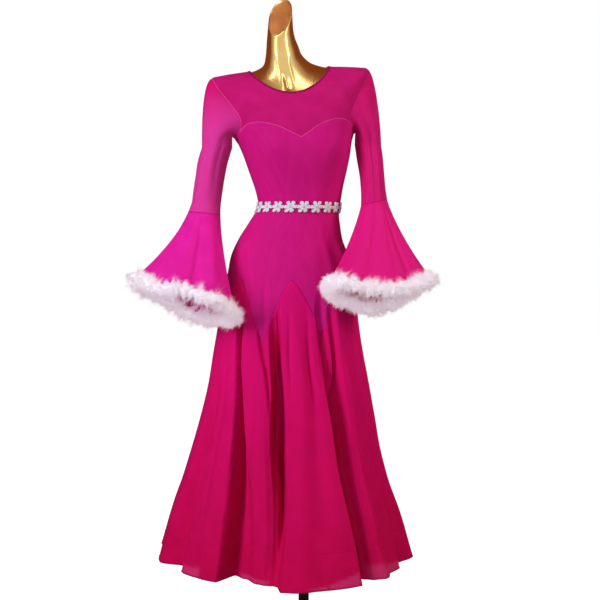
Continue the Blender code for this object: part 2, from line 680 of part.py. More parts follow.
def build_marabou(side):
    """Fluffy trim round the bell's edge, at the reach of its barbs."""
    turns = bell_turns()
    centres = [bell_point(side, 1.0, turn) for turn in turns]
    sides = 8
    points = []
    for n, centre in enumerate(centres):
        along = (centres[(n + 1) % len(centres)] - centres[n - 1]).normalized()
        down = (centre - bell_point(side, 0.9, turns[n])).normalized()
        down = (down - along * down.dot(along)).normalized()
        cross = along.cross(down)
        for k in range(sides):
            spin = 2 * math.pi * k / sides
            points.append(centre + (down * math.cos(spin) + cross * math.sin(spin)) * FUR_RADIUS)
    faces = []
    for i in range(len(centres)):
        for k in range(sides):
            a, b = i * sides + k, i * sides + (k + 1) % sides
            c = (i + 1) % len(centres) * sides + k
            d = (i + 1) % len(centres) * sides + (k + 1) % sides
            faces += [(a, b, d), (a, d, c)]
    make_object(f"marabou_trim_{side}", "marabou", points, faces)


# ---------------------------------------------------------------- skirt
def seam_angle(seam, z):
    """Angle of a skirt seam at a height, in degrees."""
    hip_angle, hem_angle = seam
    drop = min(max((GODET_SEAM_Z - z) / (GODET_SEAM_Z - HEM_Z), 0.0), 1.0)
    return lerp(hip_angle, hem_angle, drop)


def godet_shares(low, high):
    """Columns of a godet as shares of its width: seams, tip and each fold at the hem."""
    width = high[1] - low[1]
    folds = sorted((row[1] - low[1]) % 360.0 / width for row in FOLDS)
    tips = sorted((row[0] - low[0]) % 360.0 / (high[0] - low[0])
                  for row in ZIGZAG[:-1] if row[1] > 0.85)
    anchors = [0.0] + [share for share in folds if 0.03 < share < 0.97] + [1.0]
    tip = next(share for share in tips if 0.0 < share < 1.0)
    nearest = min(range(1, len(anchors) - 1), key=lambda n: abs(anchors[n] - tip))
    if abs(anchors[nearest] - tip) < 0.05:
        anchors[nearest] = tip
    else:
        anchors = sorted(anchors + [tip])
    return subdivide(anchors, 5.2 / width)


def godet_places(low, high, levels):
    """(ring, angle) places of a godet; levels are shares down to the hem band's top."""
    rows = []
    band_top = HEM_Z + HEM_BAND
    shares = godet_shares(low, high)
    tops = [linear_lookup(ZIGZAG, lerp(low[0], high[0], u) % 360.0) - ZIGZAG_GAP / 2
            for u in shares]
    heights = [[lerp(top, band_top, level) for top in tops] for level in levels]
    heights.append([HEM_Z] * len(shares))
    for row in heights:
        places = []
        for u, z in zip(shares, row):
            left, right = seam_angle(low, z), seam_angle(high, z)
            left += angle_of(SEAM / 2, z, left)
            right -= angle_of(SEAM / 2, z, right)
            places.append((z, lerp(left, right, u)))
        rows.append(places)
    return rows


def build_skirt():
    """Six godets from the zigzag seam to the hem."""
    for n, (low, high) in enumerate(zip(GODET_SEAMS, GODET_SEAMS[1:])):
        rows = godet_places(low, high, GODET_LEVELS)
        make_panel(f"skirt_godet_{n + 1}", "crepe", rows)


def build_hem_band():
    """Stiff band inside the hem, on the same facets as the godets."""
    depth = WALL + BAND_GAP
    points, normals = [], []
    for z in (HEM_Z + HEM_BAND, HEM_Z):
        places = [(z, lerp(seam_angle(low, z), seam_angle(high, z), u))
                  for low, high in zip(GODET_SEAMS, GODET_SEAMS[1:])
                  for u in godet_shares(low, high)[:-1]]
        row = [normal_at(dress_point, *place) for place in places]
        normals.append(row)
        points.append([dress_point(*place) - n * depth for place, n in zip(places, row)])
    make_wall("hem_band", "crepe", points, normals, thickness=BAND_WALL, closed=True)


# ---------------------------------------------------------------- belt
def flower_outline(half_pitch, half_height):
    """Outline of one flower cell, anticlockwise from its right link, as (along, up)."""
    petals = 8
    points = [(half_pitch, -0.0022), (half_pitch, 0.0022)]
    for half in (1, -1):
        for k in range(petals // 2 - 1):
            centre = (k + 1) * 360.0 / petals
            for spread, reach in ((-15.0, 0.62), (-9.0, 0.98), (9.0, 0.98)):
                turn = math.radians(centre + spread + (0 if half == 1 else 180.0))
                points.append((half_pitch * reach * math.cos(turn),
                               half_height * reach * math.sin(turn)))
        turn = math.radians((petals // 2 - 0.5) * 360.0 / petals + (0 if half == 1 else 180.0))
        points.append((half_pitch * 0.62 * math.cos(turn), half_height * 0.62 * math.sin(turn)))
        if half == 1:
            points += [(-half_pitch, 0.0022), (-half_pitch, -0.0022)]
    return points


def belt_point(along, up, height):
    """Point over the waist: along in flowers, up from the waist, height off the cloth."""
    angle = 360.0 * along / FLOWERS
    ring = WAIST_Z + up
    return dress_point(ring, angle) + normal_at(dress_point, WAIST_Z, angle) * height


def build_belt():
    """Belt of linked guipure flowers with raised centres, one closed band."""
    outline = flower_outline(0.5, FLOWER_HEIGHT / 2)
    front, back = BELT_GAP + BELT_THICK, BELT_GAP
    lookup, points, faces = {}, [], []

    def corner(along, up, height):
        key = (round(along % FLOWERS, 4) % FLOWERS, round(up, 6), height)
        if key not in lookup:
            lookup[key] = len(points)
            points.append(belt_point(along, up, height))
        return lookup[key]

    for flower in range(FLOWERS):
        hubs = (corner(flower, 0.0, front + FLOWER_BOSS), corner(flower, 0.0, back))
        for (a0, u0), (a1, u1) in zip(outline, outline[1:] + outline[:1]):
            f0, f1 = corner(flower + a0, u0, front), corner(flower + a1, u1, front)
            b0, b1 = corner(flower + a0, u0, back), corner(flower + a1, u1, back)
            faces += [(hubs[0], f0, f1), (hubs[1], b1, b0)]
            if abs(a0) < 0.4999 or abs(a1) < 0.4999:
                faces += [(f0, b0, b1), (f0, b1, f1)]
    make_object("flower_belt", "guipure", points, faces)


# ---------------------------------------------------------------- assembly
def main():
    for stale in list(bpy.data.objects):
        bpy.data.objects.remove(stale, do_unlink=True)
    build_form()
    build_stand()
    build_bodice("bodice_front", front_columns(), 1)
    build_bodice("bodice_back", back_columns(), 2)
    build_yoke("yoke_front", front_columns(), 1)
    build_yoke("yoke_back", back_columns(), 2)
    for side in ("left", "right"):
        build_sleeve(side)
        build_bell(side)
        build_marabou(side)
    build_skirt()
    build_hem_band()
    build_belt()


main()
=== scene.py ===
# %% [markdown]
# # A ballroom dance dress on a dress form
#
# The imported solids give every place and size. They are loaded first and stay where they are.
# A finer dress is then cut on the same surface: each panel is a thin sheet that takes the
# place of its solid, and the creases, seams, fur and lace are added to it.

# %% Load the frame
import math

import bpy
import numpy as np
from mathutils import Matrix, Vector


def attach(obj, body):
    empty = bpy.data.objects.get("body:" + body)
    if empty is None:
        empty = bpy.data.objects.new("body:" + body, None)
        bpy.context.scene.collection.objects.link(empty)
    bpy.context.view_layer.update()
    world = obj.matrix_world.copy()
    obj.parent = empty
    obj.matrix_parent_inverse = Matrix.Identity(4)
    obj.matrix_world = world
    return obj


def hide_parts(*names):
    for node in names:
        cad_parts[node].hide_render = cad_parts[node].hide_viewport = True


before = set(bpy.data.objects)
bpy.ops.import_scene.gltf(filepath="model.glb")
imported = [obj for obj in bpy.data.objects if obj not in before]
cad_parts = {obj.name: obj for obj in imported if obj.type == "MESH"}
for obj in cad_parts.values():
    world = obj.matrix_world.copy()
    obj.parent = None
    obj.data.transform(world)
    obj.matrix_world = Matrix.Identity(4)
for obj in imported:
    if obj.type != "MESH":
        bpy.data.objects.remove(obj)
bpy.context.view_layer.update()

# %% [markdown]
# ## Camera, floor and light
#
# The dress is seen from the front, from the height of the hips, with a long lens so that the
# skirt doesn't spread by perspective. The room is a pale studio with a white floor. The cloth
# is lit by four softboxes: a strong one on the left, a weaker one far round on the right, and
# a little fill from the front and from above, so the right wall of each fold goes dark. Four
# narrow strips light nothing but the gloss: they draw the long upright highlights on the gold.

# %% Camera
CAMERA_X, CAMERA_DISTANCE, CAMERA_Z, AIM_Z = -0.00925, 3.0, 0.9875, 0.8375   # metres
bpy.ops.object.select_all(action="DESELECT")
bpy.ops.object.camera_add(location=(CAMERA_X, -CAMERA_DISTANCE, CAMERA_Z))
camera = bpy.context.object
aim = Vector((CAMERA_X, 0.0, AIM_Z)) - camera.location
camera.rotation_euler = aim.to_track_quat("-Z", "Y").to_euler()
camera.data.lens = 72.0
camera.data.sensor_width = 36.0
bpy.context.scene.camera = camera
bpy.context.scene.view_settings.view_transform = "Standard"
bpy.context.scene.cycles.transparent_max_bounces = 24
fall = math.degrees(math.atan2(CAMERA_Z - AIM_Z, CAMERA_DISTANCE))
print("camera looks down by", round(fall, 2), "degrees")


# %% Colour and node helpers
def colour(code):
    """Linear colour of an sRGB hex code."""
    channels = [int(code[n:n + 2], 16) / 255 for n in (0, 2, 4)]
    return tuple(c / 12.92 if c <= 0.04045 else ((c + 0.055) / 1.055)**2.4
                 for c in channels) + (1.0,)


def add_node(tree, kind, feeds=None, **settings):
    """Adds a node, gives it its settings, and fills its inputs with values or outputs."""
    node = tree.nodes.new(kind)
    for name, value in settings.items():
        setattr(node, name, value)
    for socket, value in (feeds or {}).items():
        if isinstance(value, bpy.types.NodeSocket):
            tree.links.new(value, node.inputs[socket])
        else:
            node.inputs[socket].default_value = value
    return node


def new_material(name, **sockets):
    """A material with its Principled shader, whose constants are set on its own sockets."""
    material = bpy.data.materials.new(name)
    material.use_nodes = True
    shader = material.node_tree.nodes["Principled BSDF"]
    for socket, value in sockets.items():
        shader.inputs[socket.replace("_", " ")].default_value = value
    return material, material.node_tree, shader


# %% Floor and room
bpy.ops.mesh.primitive_plane_add(size=40.0, location=(0.0, 0.0, -0.0005))
floor = bpy.context.object
floor.name = "studio_floor"
paper, tree, shader = new_material("white_seamless_paper", Base_Color=colour("C0C0C0"),
                                   Roughness=0.9)
ray = add_node(tree, "ShaderNodeLightPath")
glow = add_node(tree, "ShaderNodeMix", {"Factor": ray.outputs["Is Camera Ray"],
                                        "A": 0.0, "B": 0.95}, data_type="FLOAT")
shader.inputs["Emission Color"].default_value = colour("FFFFFF")
tree.links.new(glow.outputs["Result"], shader.inputs["Emission Strength"])
floor.data.materials.append(paper)

world = bpy.data.worlds.new("studio_room")
bpy.context.scene.world = world
world.use_nodes = True
tree = world.node_tree
ray = add_node(tree, "ShaderNodeLightPath")
way = add_node(tree, "ShaderNodeTexCoord").outputs["Generated"]
away = add_node(tree, "ShaderNodeSeparateXYZ", {"Vector": way}).outputs["Y"]
front = add_node(tree, "ShaderNodeValToRGB", {"Fac": add_node(
    tree, "ShaderNodeMapRange", {"Value": away, "From Min": -1.0}).outputs["Result"]})
front.color_ramp.elements[0].position, front.color_ramp.elements[1].position = 0.24, 0.50
front.color_ramp.elements[0].color = colour("F6F2EA")
front.color_ramp.elements[1].color = colour("8C4A28")
tint = add_node(tree, "ShaderNodeMix", {"Factor": ray.outputs["Is Glossy Ray"],
                                        "A": colour("FFFFFF"), "B": front.outputs["Color"]},
                data_type="RGBA")
tree.links.new(tint.outputs["Result"], tree.nodes["Background"].inputs["Color"])
glint = add_node(tree, "ShaderNodeMapRange", {"Value": ray.outputs["Is Glossy Ray"],
                                              "To Min": 0.075, "To Max": 0.85})
seen = add_node(tree, "ShaderNodeMix", {"Factor": ray.outputs["Is Camera Ray"],
                                        "A": glint.outputs["Result"], "B": 1.0},
                data_type="FLOAT")
tree.links.new(seen.outputs["Result"], tree.nodes["Background"].inputs["Strength"])


# %% Softboxes
def add_softbox(name, place, target, width, height, power, tint="FFFFFF", spread=180.0):
    """A tall area light aimed at a target; a grid on it narrows its spread, in degrees."""
    bpy.ops.object.light_add(type="AREA", location=place)
    lamp = bpy.context.object
    lamp.name = name
    lamp.data.shape = "RECTANGLE"
    lamp.data.size, lamp.data.size_y = width, height
    lamp.data.energy = power
    lamp.data.color = colour(tint)[:3]
    lamp.data.spread = math.radians(spread)
    lamp.rotation_euler = (Vector(target) - lamp.location).to_track_quat("-Z", "Y").to_euler()


BUST, NECK = (0.0, 0.0, 1.15), (-0.04, 0.0, 1.40)      # what the lights are aimed at
for name, place, width, power, tint in (
        ("softbox_left", (-2.3, -2.3, 2.1), 1.0, 36.5, "FBF7FF"),
        ("softbox_right", (2.9, -0.6, 2.1), 0.6, 22.0, "FFF2DC"),
        ("softbox_front", (-0.5, -3.0, 2.3), 0.6, 7.0, "FFFFFF"),
        ("softbox_top", (0.6, -0.7, 3.5), 0.6, 2.6, "FFFFFF")):
    add_softbox(name, place, BUST, width, 2.0, power, tint, 120.0)
    bpy.context.object.visible_glossy = False
for name, place, width, height, power in (
        ("gloss_strip_left", (-2.5, -2.45, 1.9), 0.15, 3.0, 17.0),
        ("gloss_strip_right", (1.9, -2.3, 1.9), 0.10, 3.0, 10.0),
        ("gloss_strip_over_left", (-1.35, -1.3, 3.5), 0.14, 2.6, 9.0),
        ("gloss_strip_over_right", (1.05, -1.3, 3.5), 0.12, 2.6, 7.0)):
    add_softbox(name, place, NECK, width, height, power, "FFF8F4")
    bpy.context.object.visible_diffuse = False

# %% [markdown]
# ## The surface under every panel
#
# The dress body is one surface: a stack of rings, each of two half ellipses, the same rows
# that the solids are made from. A smooth curve through the rows gives the ring at any height.
# The skirt's flutes push a ring out or in, and each is one row: where it is at the hips, where
# at the hem, how high it starts and how far it stands out.

# %% Rings of the body
# Hem to the top of the neck. A ring's front half leans from its height at the centre front to
# its height at the sides, and its back half to its height at the centre back.
FRONT_Z, SIDE_Z, BACK_Z, CENTRE_X, HALF_WIDTH, FRONT_DEPTH, BACK_DEPTH = range(7)
BODY = np.array((
    (0.2000, 0.2000, 0.2000, -0.0490, 0.3125, 0.3080, 0.3040),
    (0.3075, 0.3075, 0.3075, -0.0490, 0.2850, 0.2640, 0.2720),
    (0.3875, 0.3875, 0.3875, -0.0490, 0.2580, 0.2290, 0.2460),
    (0.4675, 0.4675, 0.4675, -0.0470, 0.2350, 0.2000, 0.2200),
    (0.5475, 0.5475, 0.5475, -0.0415, 0.2175, 0.1800, 0.2000),
    (0.6275, 0.6275, 0.6275, -0.0385, 0.2010, 0.1620, 0.1830),
    (0.7075, 0.7075, 0.7075, -0.0392, 0.1872, 0.1450, 0.1660),
    (0.7700, 0.7700, 0.7700, -0.0380, 0.1775, 0.1320, 0.1540),
    (0.8375, 0.8375, 0.8375, -0.0355, 0.1690, 0.1180, 0.1410),
    (0.9100, 0.9100, 0.9100, -0.0320, 0.1570, 0.1060, 0.1270),
    (0.9475, 0.9475, 0.9475, -0.0340, 0.1475, 0.1010, 0.1200),
    (0.9875, 0.9875, 0.9875, -0.0330, 0.1310, 0.0960, 0.1110),
    (1.0275, 1.0275, 1.0275, -0.0240, 0.1150, 0.0900, 0.0990),
    (1.0500, 1.0500, 1.0500, -0.0180, 0.1065, 0.0870, 0.0910),
    (1.0680, 1.0680, 1.0680, -0.0120, 0.1015, 0.0855, 0.0875),
    (1.0900, 1.0900, 1.0900, -0.0110, 0.1045, 0.0875, 0.0870),
    (1.1200, 1.1200, 1.1200, -0.0125, 0.1110, 0.0930, 0.0885),
    (1.1600, 1.1600, 1.1600, -0.0145, 0.1225, 0.1020, 0.0920),
    (1.2000, 1.2000, 1.2000, -0.0170, 0.1335, 0.1080, 0.0950),
    (1.2275, 1.2275, 1.2275, -0.0205, 0.1410, 0.1100, 0.0970),
    (1.2450, 1.2450, 1.2450, -0.0230, 0.1490, 0.1090, 0.0980),
    (1.2600, 1.2750, 1.2680, -0.0250, 0.1600, 0.1070, 0.0990),
    (1.2780, 1.3180, 1.3040, -0.0280, 0.1755, 0.1035, 0.0990),
    (1.2980, 1.3640, 1.3460, -0.0310, 0.1880, 0.0980, 0.0960),
    (1.3160, 1.3990, 1.3780, -0.0330, 0.1940, 0.0920, 0.0910),
    (1.3250, 1.4040, 1.3860, -0.0340, 0.1750, 0.0900, 0.0870),
    (1.3350, 1.4080, 1.3950, -0.0355, 0.1380, 0.0875, 0.0810),
    (1.3430, 1.4110, 1.4030, -0.0366, 0.1015, 0.0850, 0.0750),
    (1.3600, 1.4180, 1.4130, -0.0385, 0.0760, 0.0740, 0.0680),
    (1.3850, 1.4280, 1.4260, -0.0430, 0.0590, 0.0600, 0.0610),
    (1.4150, 1.4475, 1.4450, -0.0500, 0.0475, 0.0500, 0.0540),
    (1.4450, 1.4675, 1.4650, -0.0530, 0.0425, 0.0450, 0.0480),
    (1.4640, 1.4870, 1.4900, -0.0565, 0.0378, 0.0400, 0.0430),
    (1.4780, 1.5110, 1.5300, -0.0580, 0.0345, 0.0365, 0.0390),
    (1.4900, 1.5430, 1.5900, -0.0580, 0.0325, 0.0335, 0.0360),
))
HEM_Z, WAIST_Z, FOLD_TOP_Z = 0.200, 1.068, 0.86
PIT_RING, SHOULDER_RING, NECK_RING = 1.2450, 1.3160, 1.3430
YAW = math.radians(8.0)  # the dress is turned a little on its pole
NECK_CUT_TURN = 24.0     # the slanted cut of the neck faces this far to the left, degrees
TILT_START, TILT_SPAN, TILT = 1.12, 0.20, 0.080     # the shoulders rise towards +X
SHOULDER_BEND, ROUND_END = 1.6, 1.445               # rings round over the shoulders below this
# The bust cups: rise in metres, then angle and ring of each middle, with half widths.
CUP_RISE, CUP_ANGLE, CUP_WIDTH, CUP_RING, CUP_HEIGHT = 0.0095, 34.0, 20.0, 1.203, 0.040

# %% Flutes of the skirt
# Front flutes, from the left panel's edge round to the right: where each crest or hollow
# stands at these heights, in degrees from the centre front, and how far out, in millimetres.
FLUTE_LEVELS = (0.20, 0.27, 0.40, 0.54, 0.68, 0.80, 0.86)
FRONT_FLUTES = (
    ((-37.2, -36.2, -36.8, -40.5, -46.5, -52.0, -52.0), (4, 10, 16, 12, 5, 2, 0)),
    ((-35.2, -34.4, -34.8, -38.6, -44.8, -49.0, -49.0), (-66, -64, -58, -50, -46, -16, 0)),
    ((-27.0, -27.0, -29.5, -37.4, -43.4, -46.5, -46.5), (-48, -42, -34, -30, -30, -9, 0)),
    ((-19.0, -19.0, -23.0, -33.0, -41.0, -43.5, -43.5), (-14, -12, -6, 1, 4, 2, 0)),
    ((-15.6, -15.2, -16.4, -21.0, -25.5, -30.0, -30.0), (-6, -1, 5, 8, 5, 1, 0)),
    ((-13.4, -12.4, -12.8, -16.8, -19.0, -23.0, -23.0), (-4, -2, 0, 3, 2, 0, 0)),
    ((-12.0, -10.4, -10.4, -15.2, -16.6, -17.2, -17.2), (-4, -7, -14, -60, -40, -8, 0)),
    ((-10.2, -8.4, -6.6, -8.6, -12.4, -13.0, -13.0), (2, -8, -54, -66, -40, -7, 0)),
    ((-8.4, -6.7, -4.8, -6.4, -9.4, -10.6, -10.6), (48, 40, 28, 17, 7, 0, 0)),
    ((-2.0, -1.0, 1.5, 2.0, 2.0, -1.0, -1.0), (54, 47, 34, 20, 9, 2, 0)),
    ((7.0, 9.0, 12.0, 12.5, 11.0, 9.0, 9.0), (46, 37, 20, 5, -1, 0, 0)),
    ((15.0, 17.0, 18.5, 18.0, 13.6, 12.5, 12.5), (45, 38, 27, 12, 4, 1, 0)),
    ((23.0, 23.3, 22.8, 21.5, 17.0, 15.5, 15.5), (42, 36, 26, 12, 3, 1, 0)),
    ((25.6, 25.8, 26.0, 25.6, 24.0, 20.0, 19.0), (-14, -24, -44, -46, -20, -9, 0)),
    ((27.8, 28.6, 30.4, 31.2, 29.6, 27.0, 25.0), (-8, -18, -42, -58, -9, -2, 0)),
    ((29.2, 30.2, 32.4, 33.8, 33.0, 31.4, 30.0), (4, -4, -20, -40, -22, -8, 0)),
    ((32.0, 32.8, 35.6, 37.0, 36.6, 37.0, 37.0), (22, 16, 8, 6, 5, 3, 0)),
    ((37.0, 37.4, 40.5, 41.0, 41.0, 44.0, 44.0), (32, 25, 15, 9, 6, 1, 0)),
    ((45.0, 44.5, 46.5, 48.5, 47.0, 54.0, 54.0), (9, 6, 2, -3, -5, -4, 0)),
    ((52.0, 53.0, 55.0, 56.0, 56.0, 58.0, 58.0), (8, 7, 4, 2, 1, 0, 0)),
)
# The sides and back: angle at the hips, angle at the hem, height where it starts, rise at
# the hem in metres.
FOLDS = np.array((
    (61.0, 60.0, 0.58, -0.014), (74.0, 74.0, 0.58, 0.012), (86.0, 84.0, 0.62, 0.000),
    (100.0, 100.0, 0.56, 0.012), (114.0, 113.0, 0.62, -0.030), (127.0, 128.0, 0.66, 0.034),
    (144.0, 144.0, 0.74, -0.036), (160.0, 160.0, 0.66, 0.040), (171.0, 171.0, 0.54, 0.012),
    (183.0, 184.0, 0.64, 0.042), (200.0, 200.0, 0.74, -0.034), (216.0, 215.0, 0.62, 0.030),
    (229.0, 229.0, 0.62, -0.024), (243.0, 243.0, 0.60, 0.026), (256.0, 256.0, 0.56, -0.006),
    (266.0, 264.0, 0.60, 0.000), (284.0, 280.0, 0.56, 0.006), (292.0, 291.0, 0.66, -0.034),
    (300.0, 301.0, 0.62, -0.002),
))


# %% Curves through the rows
def smooth_at(rows, key, column):
    """Value of a column at key, on a smooth curve through the rows."""
    rows = np.asarray(rows, float)
    x, v = rows[:, 0], rows[:, column]
    key = np.clip(key, x[0], x[-1])
    i = np.clip(np.searchsorted(x, key) - 1, 0, len(x) - 2)
    low, high = np.maximum(np.arange(len(x)) - 1, 0), np.minimum(np.arange(len(x)) + 1, len(x) - 1)
    slope = (v[high] - v[low]) / (x[high] - x[low])
    span = x[i + 1] - x[i]
    t = (key - x[i]) / span
    return (v[i] * (2 * t**3 - 3 * t**2 + 1) + slope[i] * span * (t**3 - 2 * t**2 + t)
            + v[i + 1] * (3 * t**2 - 2 * t**3) + slope[i + 1] * span * (t**3 - t**2))


def wave_at(angles, values, angle):
    """Smooth closed wave through (angle in degrees, value) rows that run once round."""
    angles = np.concatenate([angles, angles[..., :1] + 360.0], -1)
    values = np.concatenate([values, values[..., :1]], -1)
    angle = (angle - angles[..., 0]) % 360.0 + angles[..., 0]
    i = np.clip((angle[..., None] > angles[..., 1:]).sum(-1), 0, angles.shape[-1] - 2)[..., None]
    a0, a1 = (np.take_along_axis(angles, i + n, -1)[..., 0] for n in (0, 1))
    v0, v1 = (np.take_along_axis(values, i + n, -1)[..., 0] for n in (0, 1))
    share = (angle - a0) / (a1 - a0)
    return v0 + (v1 - v0) * share * share * (3 - 2 * share)


# %% Creases, listed one by one
def creases_at(rows, along, across, closed=True):
    """Soft troughs and ridges: each row has a height, a half width and a path to follow."""
    total = np.zeros(np.shape(along))
    for height, half_width, path in rows:
        path = np.array(sorted(path))
        gap = across - np.interp(along, path[:, 0], path[:, 1])
        if closed:
            gap = (gap + 180.0) % 360.0 - 180.0
        share = np.clip((along - path[0, 0]) / (path[-1, 0] - path[0, 0]), 0.0, 1.0)
        total += height * np.sin(math.pi * share)**0.8 * np.exp(-(gap / half_width)**2)
    return total


# height, half width in degrees, path of (ring, angle); a path that starts below the hem
# runs out through it.
SKIRT_CREASES = (
    (0.0030, 4.5, ((1.05, 26.0), (0.97, 32.0), (0.88, 35.0), (0.80, 34.0))),
    (-0.0022, 5.0, ((1.05, 36.0), (0.97, 43.0), (0.88, 47.0), (0.79, 44.0))),
    (0.0034, 5.0, ((1.04, 50.0), (0.95, 56.0), (0.85, 58.0))),
    (-0.005, 2.4, ((0.90, -28.0), (0.82, -26.8), (0.75, -26.0), (0.68, -25.0))),
    (-0.005, 2.4, ((0.90, 21.0), (0.82, 22.4), (0.76, 22.8), (0.70, 23.0))),
    (-0.012, 1.4, ((0.80, -31.0), (0.75, -28.4), (0.68, -22.0), (0.61, -18.5), (0.56, -16.5))),
    (-0.009, 1.3, ((0.82, -14.6), (0.75, -13.9), (0.68, -13.5), (0.62, -12.0))),
    (-0.005, 1.7, ((0.82, -5.0), (0.75, -4.8), (0.68, -4.9), (0.60, -4.0))),
    (-0.006, 2.3, ((0.80, 10.5), (0.75, 10.2), (0.68, 9.4), (0.61, 10.0), (0.54, 12.0))),
    (-0.0035, 1.8, ((0.82, 18.5), (0.75, 20.8), (0.68, 25.0), (0.62, 26.6))),
    (-0.0030, 1.8, ((0.82, 30.5), (0.75, 31.6), (0.68, 33.0), (0.61, 33.4), (0.56, 32.0))),
    (-0.009, 4.5, ((0.66, -66.0), (0.50, -65.0), (0.34, -63.0), (0.14, -61.0))),
    (0.003, 2.0, ((0.84, -70.0), (0.60, -66.0), (0.40, -60.0), (0.14, -56.0))),
    (-0.003, 2.0, ((0.74, -58.0), (0.56, -54.0), (0.34, -50.0), (0.14, -48.0))),
    (0.003, 2.2, ((0.66, -30.0), (0.46, -28.0), (0.28, -28.0))),
    (-0.003, 2.2, ((0.80, 66.0), (0.60, 64.0), (0.40, 60.0), (0.14, 58.0))),
    (0.003, 2.4, ((0.80, 82.0), (0.58, 80.0), (0.40, 72.0), (0.24, 70.0))),
    (-0.005, 3.0, ((0.80, 117.0), (0.60, 115.0), (0.36, 113.0), (0.12, 113.0))),
    (-0.008, 2.8, ((0.82, 146.0), (0.60, 145.0), (0.36, 144.0), (0.12, 144.0))),
    (0.003, 2.2, ((0.78, 158.0), (0.56, 161.0), (0.34, 160.0), (0.18, 159.0))),
    (-0.004, 2.4, ((0.70, 171.0), (0.48, 172.0), (0.24, 170.0))),
    (-0.008, 2.8, ((0.81, 203.0), (0.60, 201.0), (0.36, 200.0), (0.12, 200.0))),
    (-0.005, 2.6, ((0.78, 230.0), (0.56, 229.0), (0.34, 229.0), (0.12, 229.0))),
    (0.003, 2.4, ((0.76, 246.0), (0.54, 243.0), (0.30, 244.0))),
    (-0.005, 2.6, ((0.78, 290.0), (0.58, 291.0), (0.34, 291.0), (0.12, 291.0))),
)
# Small puckers over the belt, along the waist: path of (angle, ring)
WAIST_CREASES = (
    (0.0010, 0.0034, ((-66.0, 1.116), (-52.0, 1.104), (-40.0, 1.093))),
    (-0.0010, 0.0030, ((-40.0, 1.108), (-28.0, 1.100), (-14.0, 1.096))),
    (0.0008, 0.0030, ((-20.0, 1.094), (-8.0, 1.099), (6.0, 1.110))),
    (-0.0009, 0.0030, ((6.0, 1.098), (20.0, 1.104), (36.0, 1.118))),
    (0.0010, 0.0032, ((26.0, 1.096), (40.0, 1.102), (56.0, 1.120))),
    (-0.0008, 0.0030, ((52.0, 1.094), (64.0, 1.102), (76.0, 1.116))),
    (0.0014, 0.0030, ((150.0, 1.112), (168.0, 1.100), (184.0, 1.095))),
    (-0.0014, 0.0030, ((180.0, 1.096), (196.0, 1.102), (214.0, 1.116))),
    (0.0014, 0.0030, ((232.0, 1.112), (246.0, 1.101), (258.0, 1.096))),
)


# %% The dress as a surface
def fold_rise(z, angle):
    """How far the flutes push the skirt outwards."""
    drop = np.clip((FOLD_TOP_Z - z) / (FOLD_TOP_Z - HEM_Z), 0.0, 1.0)[..., None]
    at_hips, at_hem, start_z, hem_rise = FOLDS.T
    depth = np.clip((start_z - z[..., None]) / (start_z - HEM_Z), 0.0, None)
    middles = at_hips + (at_hem - at_hips) * drop
    front = [np.stack([smooth_at(list(zip(FLUTE_LEVELS, row[n])), z, 1)
                       for row in FRONT_FLUTES], -1) for n in (0, 1)]
    rise = wave_at(np.concatenate([front[0], middles], -1),
                   np.concatenate([front[1] / 1000.0, hem_rise * depth**0.95], -1), angle)
    return np.where(z >= FOLD_TOP_Z, 0.0, rise)


def cup_rise(ring, angle):
    """How far the bust cups push the bodice outwards."""
    aside = (np.abs((angle + 180.0) % 360.0 - 180.0) - CUP_ANGLE) / CUP_WIDTH
    return CUP_RISE * np.exp(-aside**2 - ((ring - CUP_RING) / CUP_HEIGHT)**2)


def ring_at(ring, angle, grow=0.0):
    """Points of a plain ring, its half axes longer by grow."""
    side, ahead = np.sin(np.radians(angle)), np.cos(np.radians(angle))
    depth = grow + np.where(ahead > 0, smooth_at(BODY, ring, FRONT_DEPTH),
                            smooth_at(BODY, ring, BACK_DEPTH))
    x, y = (smooth_at(BODY, ring, HALF_WIDTH) + grow) * side, -depth * ahead
    high = np.clip((ring - ROUND_END) / (BODY[-1, FRONT_Z] - ROUND_END), 0.0, 1.0)
    bend = SHOULDER_BEND + (1.0 - SHOULDER_BEND) * high
    ahead = np.cos(np.radians(angle + NECK_CUT_TURN * high))
    side_z = smooth_at(BODY, ring, SIDE_Z)
    end_z = np.where(ahead > 0, ring, smooth_at(BODY, ring, BACK_Z))
    tilt = TILT * np.clip((ring - TILT_START) / TILT_SPAN, 0.0, 1.0)
    z = side_z + (end_z - side_z) * np.abs(ahead)**bend + tilt * x
    return np.stack([smooth_at(BODY, ring, CENTRE_X) + x * math.cos(YAW) - y * math.sin(YAW),
                     x * math.sin(YAW) + y * math.cos(YAW), z], -1)


def dress_at(ring, angle, detail=True):
    """Outer face of the dress body, with its listed creases if detail is wanted."""
    ring, angle = np.broadcast_arrays(np.asarray(ring, float), np.asarray(angle, float))
    grow = fold_rise(ring, angle) + cup_rise(ring, angle)
    if detail:
        grow = grow + creases_at(SKIRT_CREASES, ring, angle)
        around = (angle + 90.0) % 360.0 - 90.0
        grow = grow + creases_at(WAIST_CREASES, around, ring, closed=False)
    return ring_at(ring, angle, grow)


def unit(vectors):
    """Vectors of length 1."""
    return vectors / np.maximum(np.linalg.norm(vectors, axis=-1, keepdims=True), 1e-12)


def normal_at(ring, angle, detail=True):
    """Outward normals of the dress body."""
    ring, angle = np.broadcast_arrays(np.asarray(ring, float), np.asarray(angle, float))
    along = dress_at(ring, angle + 0.05, detail) - dress_at(ring, angle - 0.05, detail)
    up = dress_at(ring + 0.0005, angle, detail) - dress_at(ring - 0.0005, angle, detail)
    return unit(np.cross(along, up))


hem = dress_at(HEM_Z, np.linspace(0.0, 360.0, 721))
print("hem round:", round(float(np.linalg.norm(np.diff(hem, axis=0), axis=1).sum()), 3), "m")

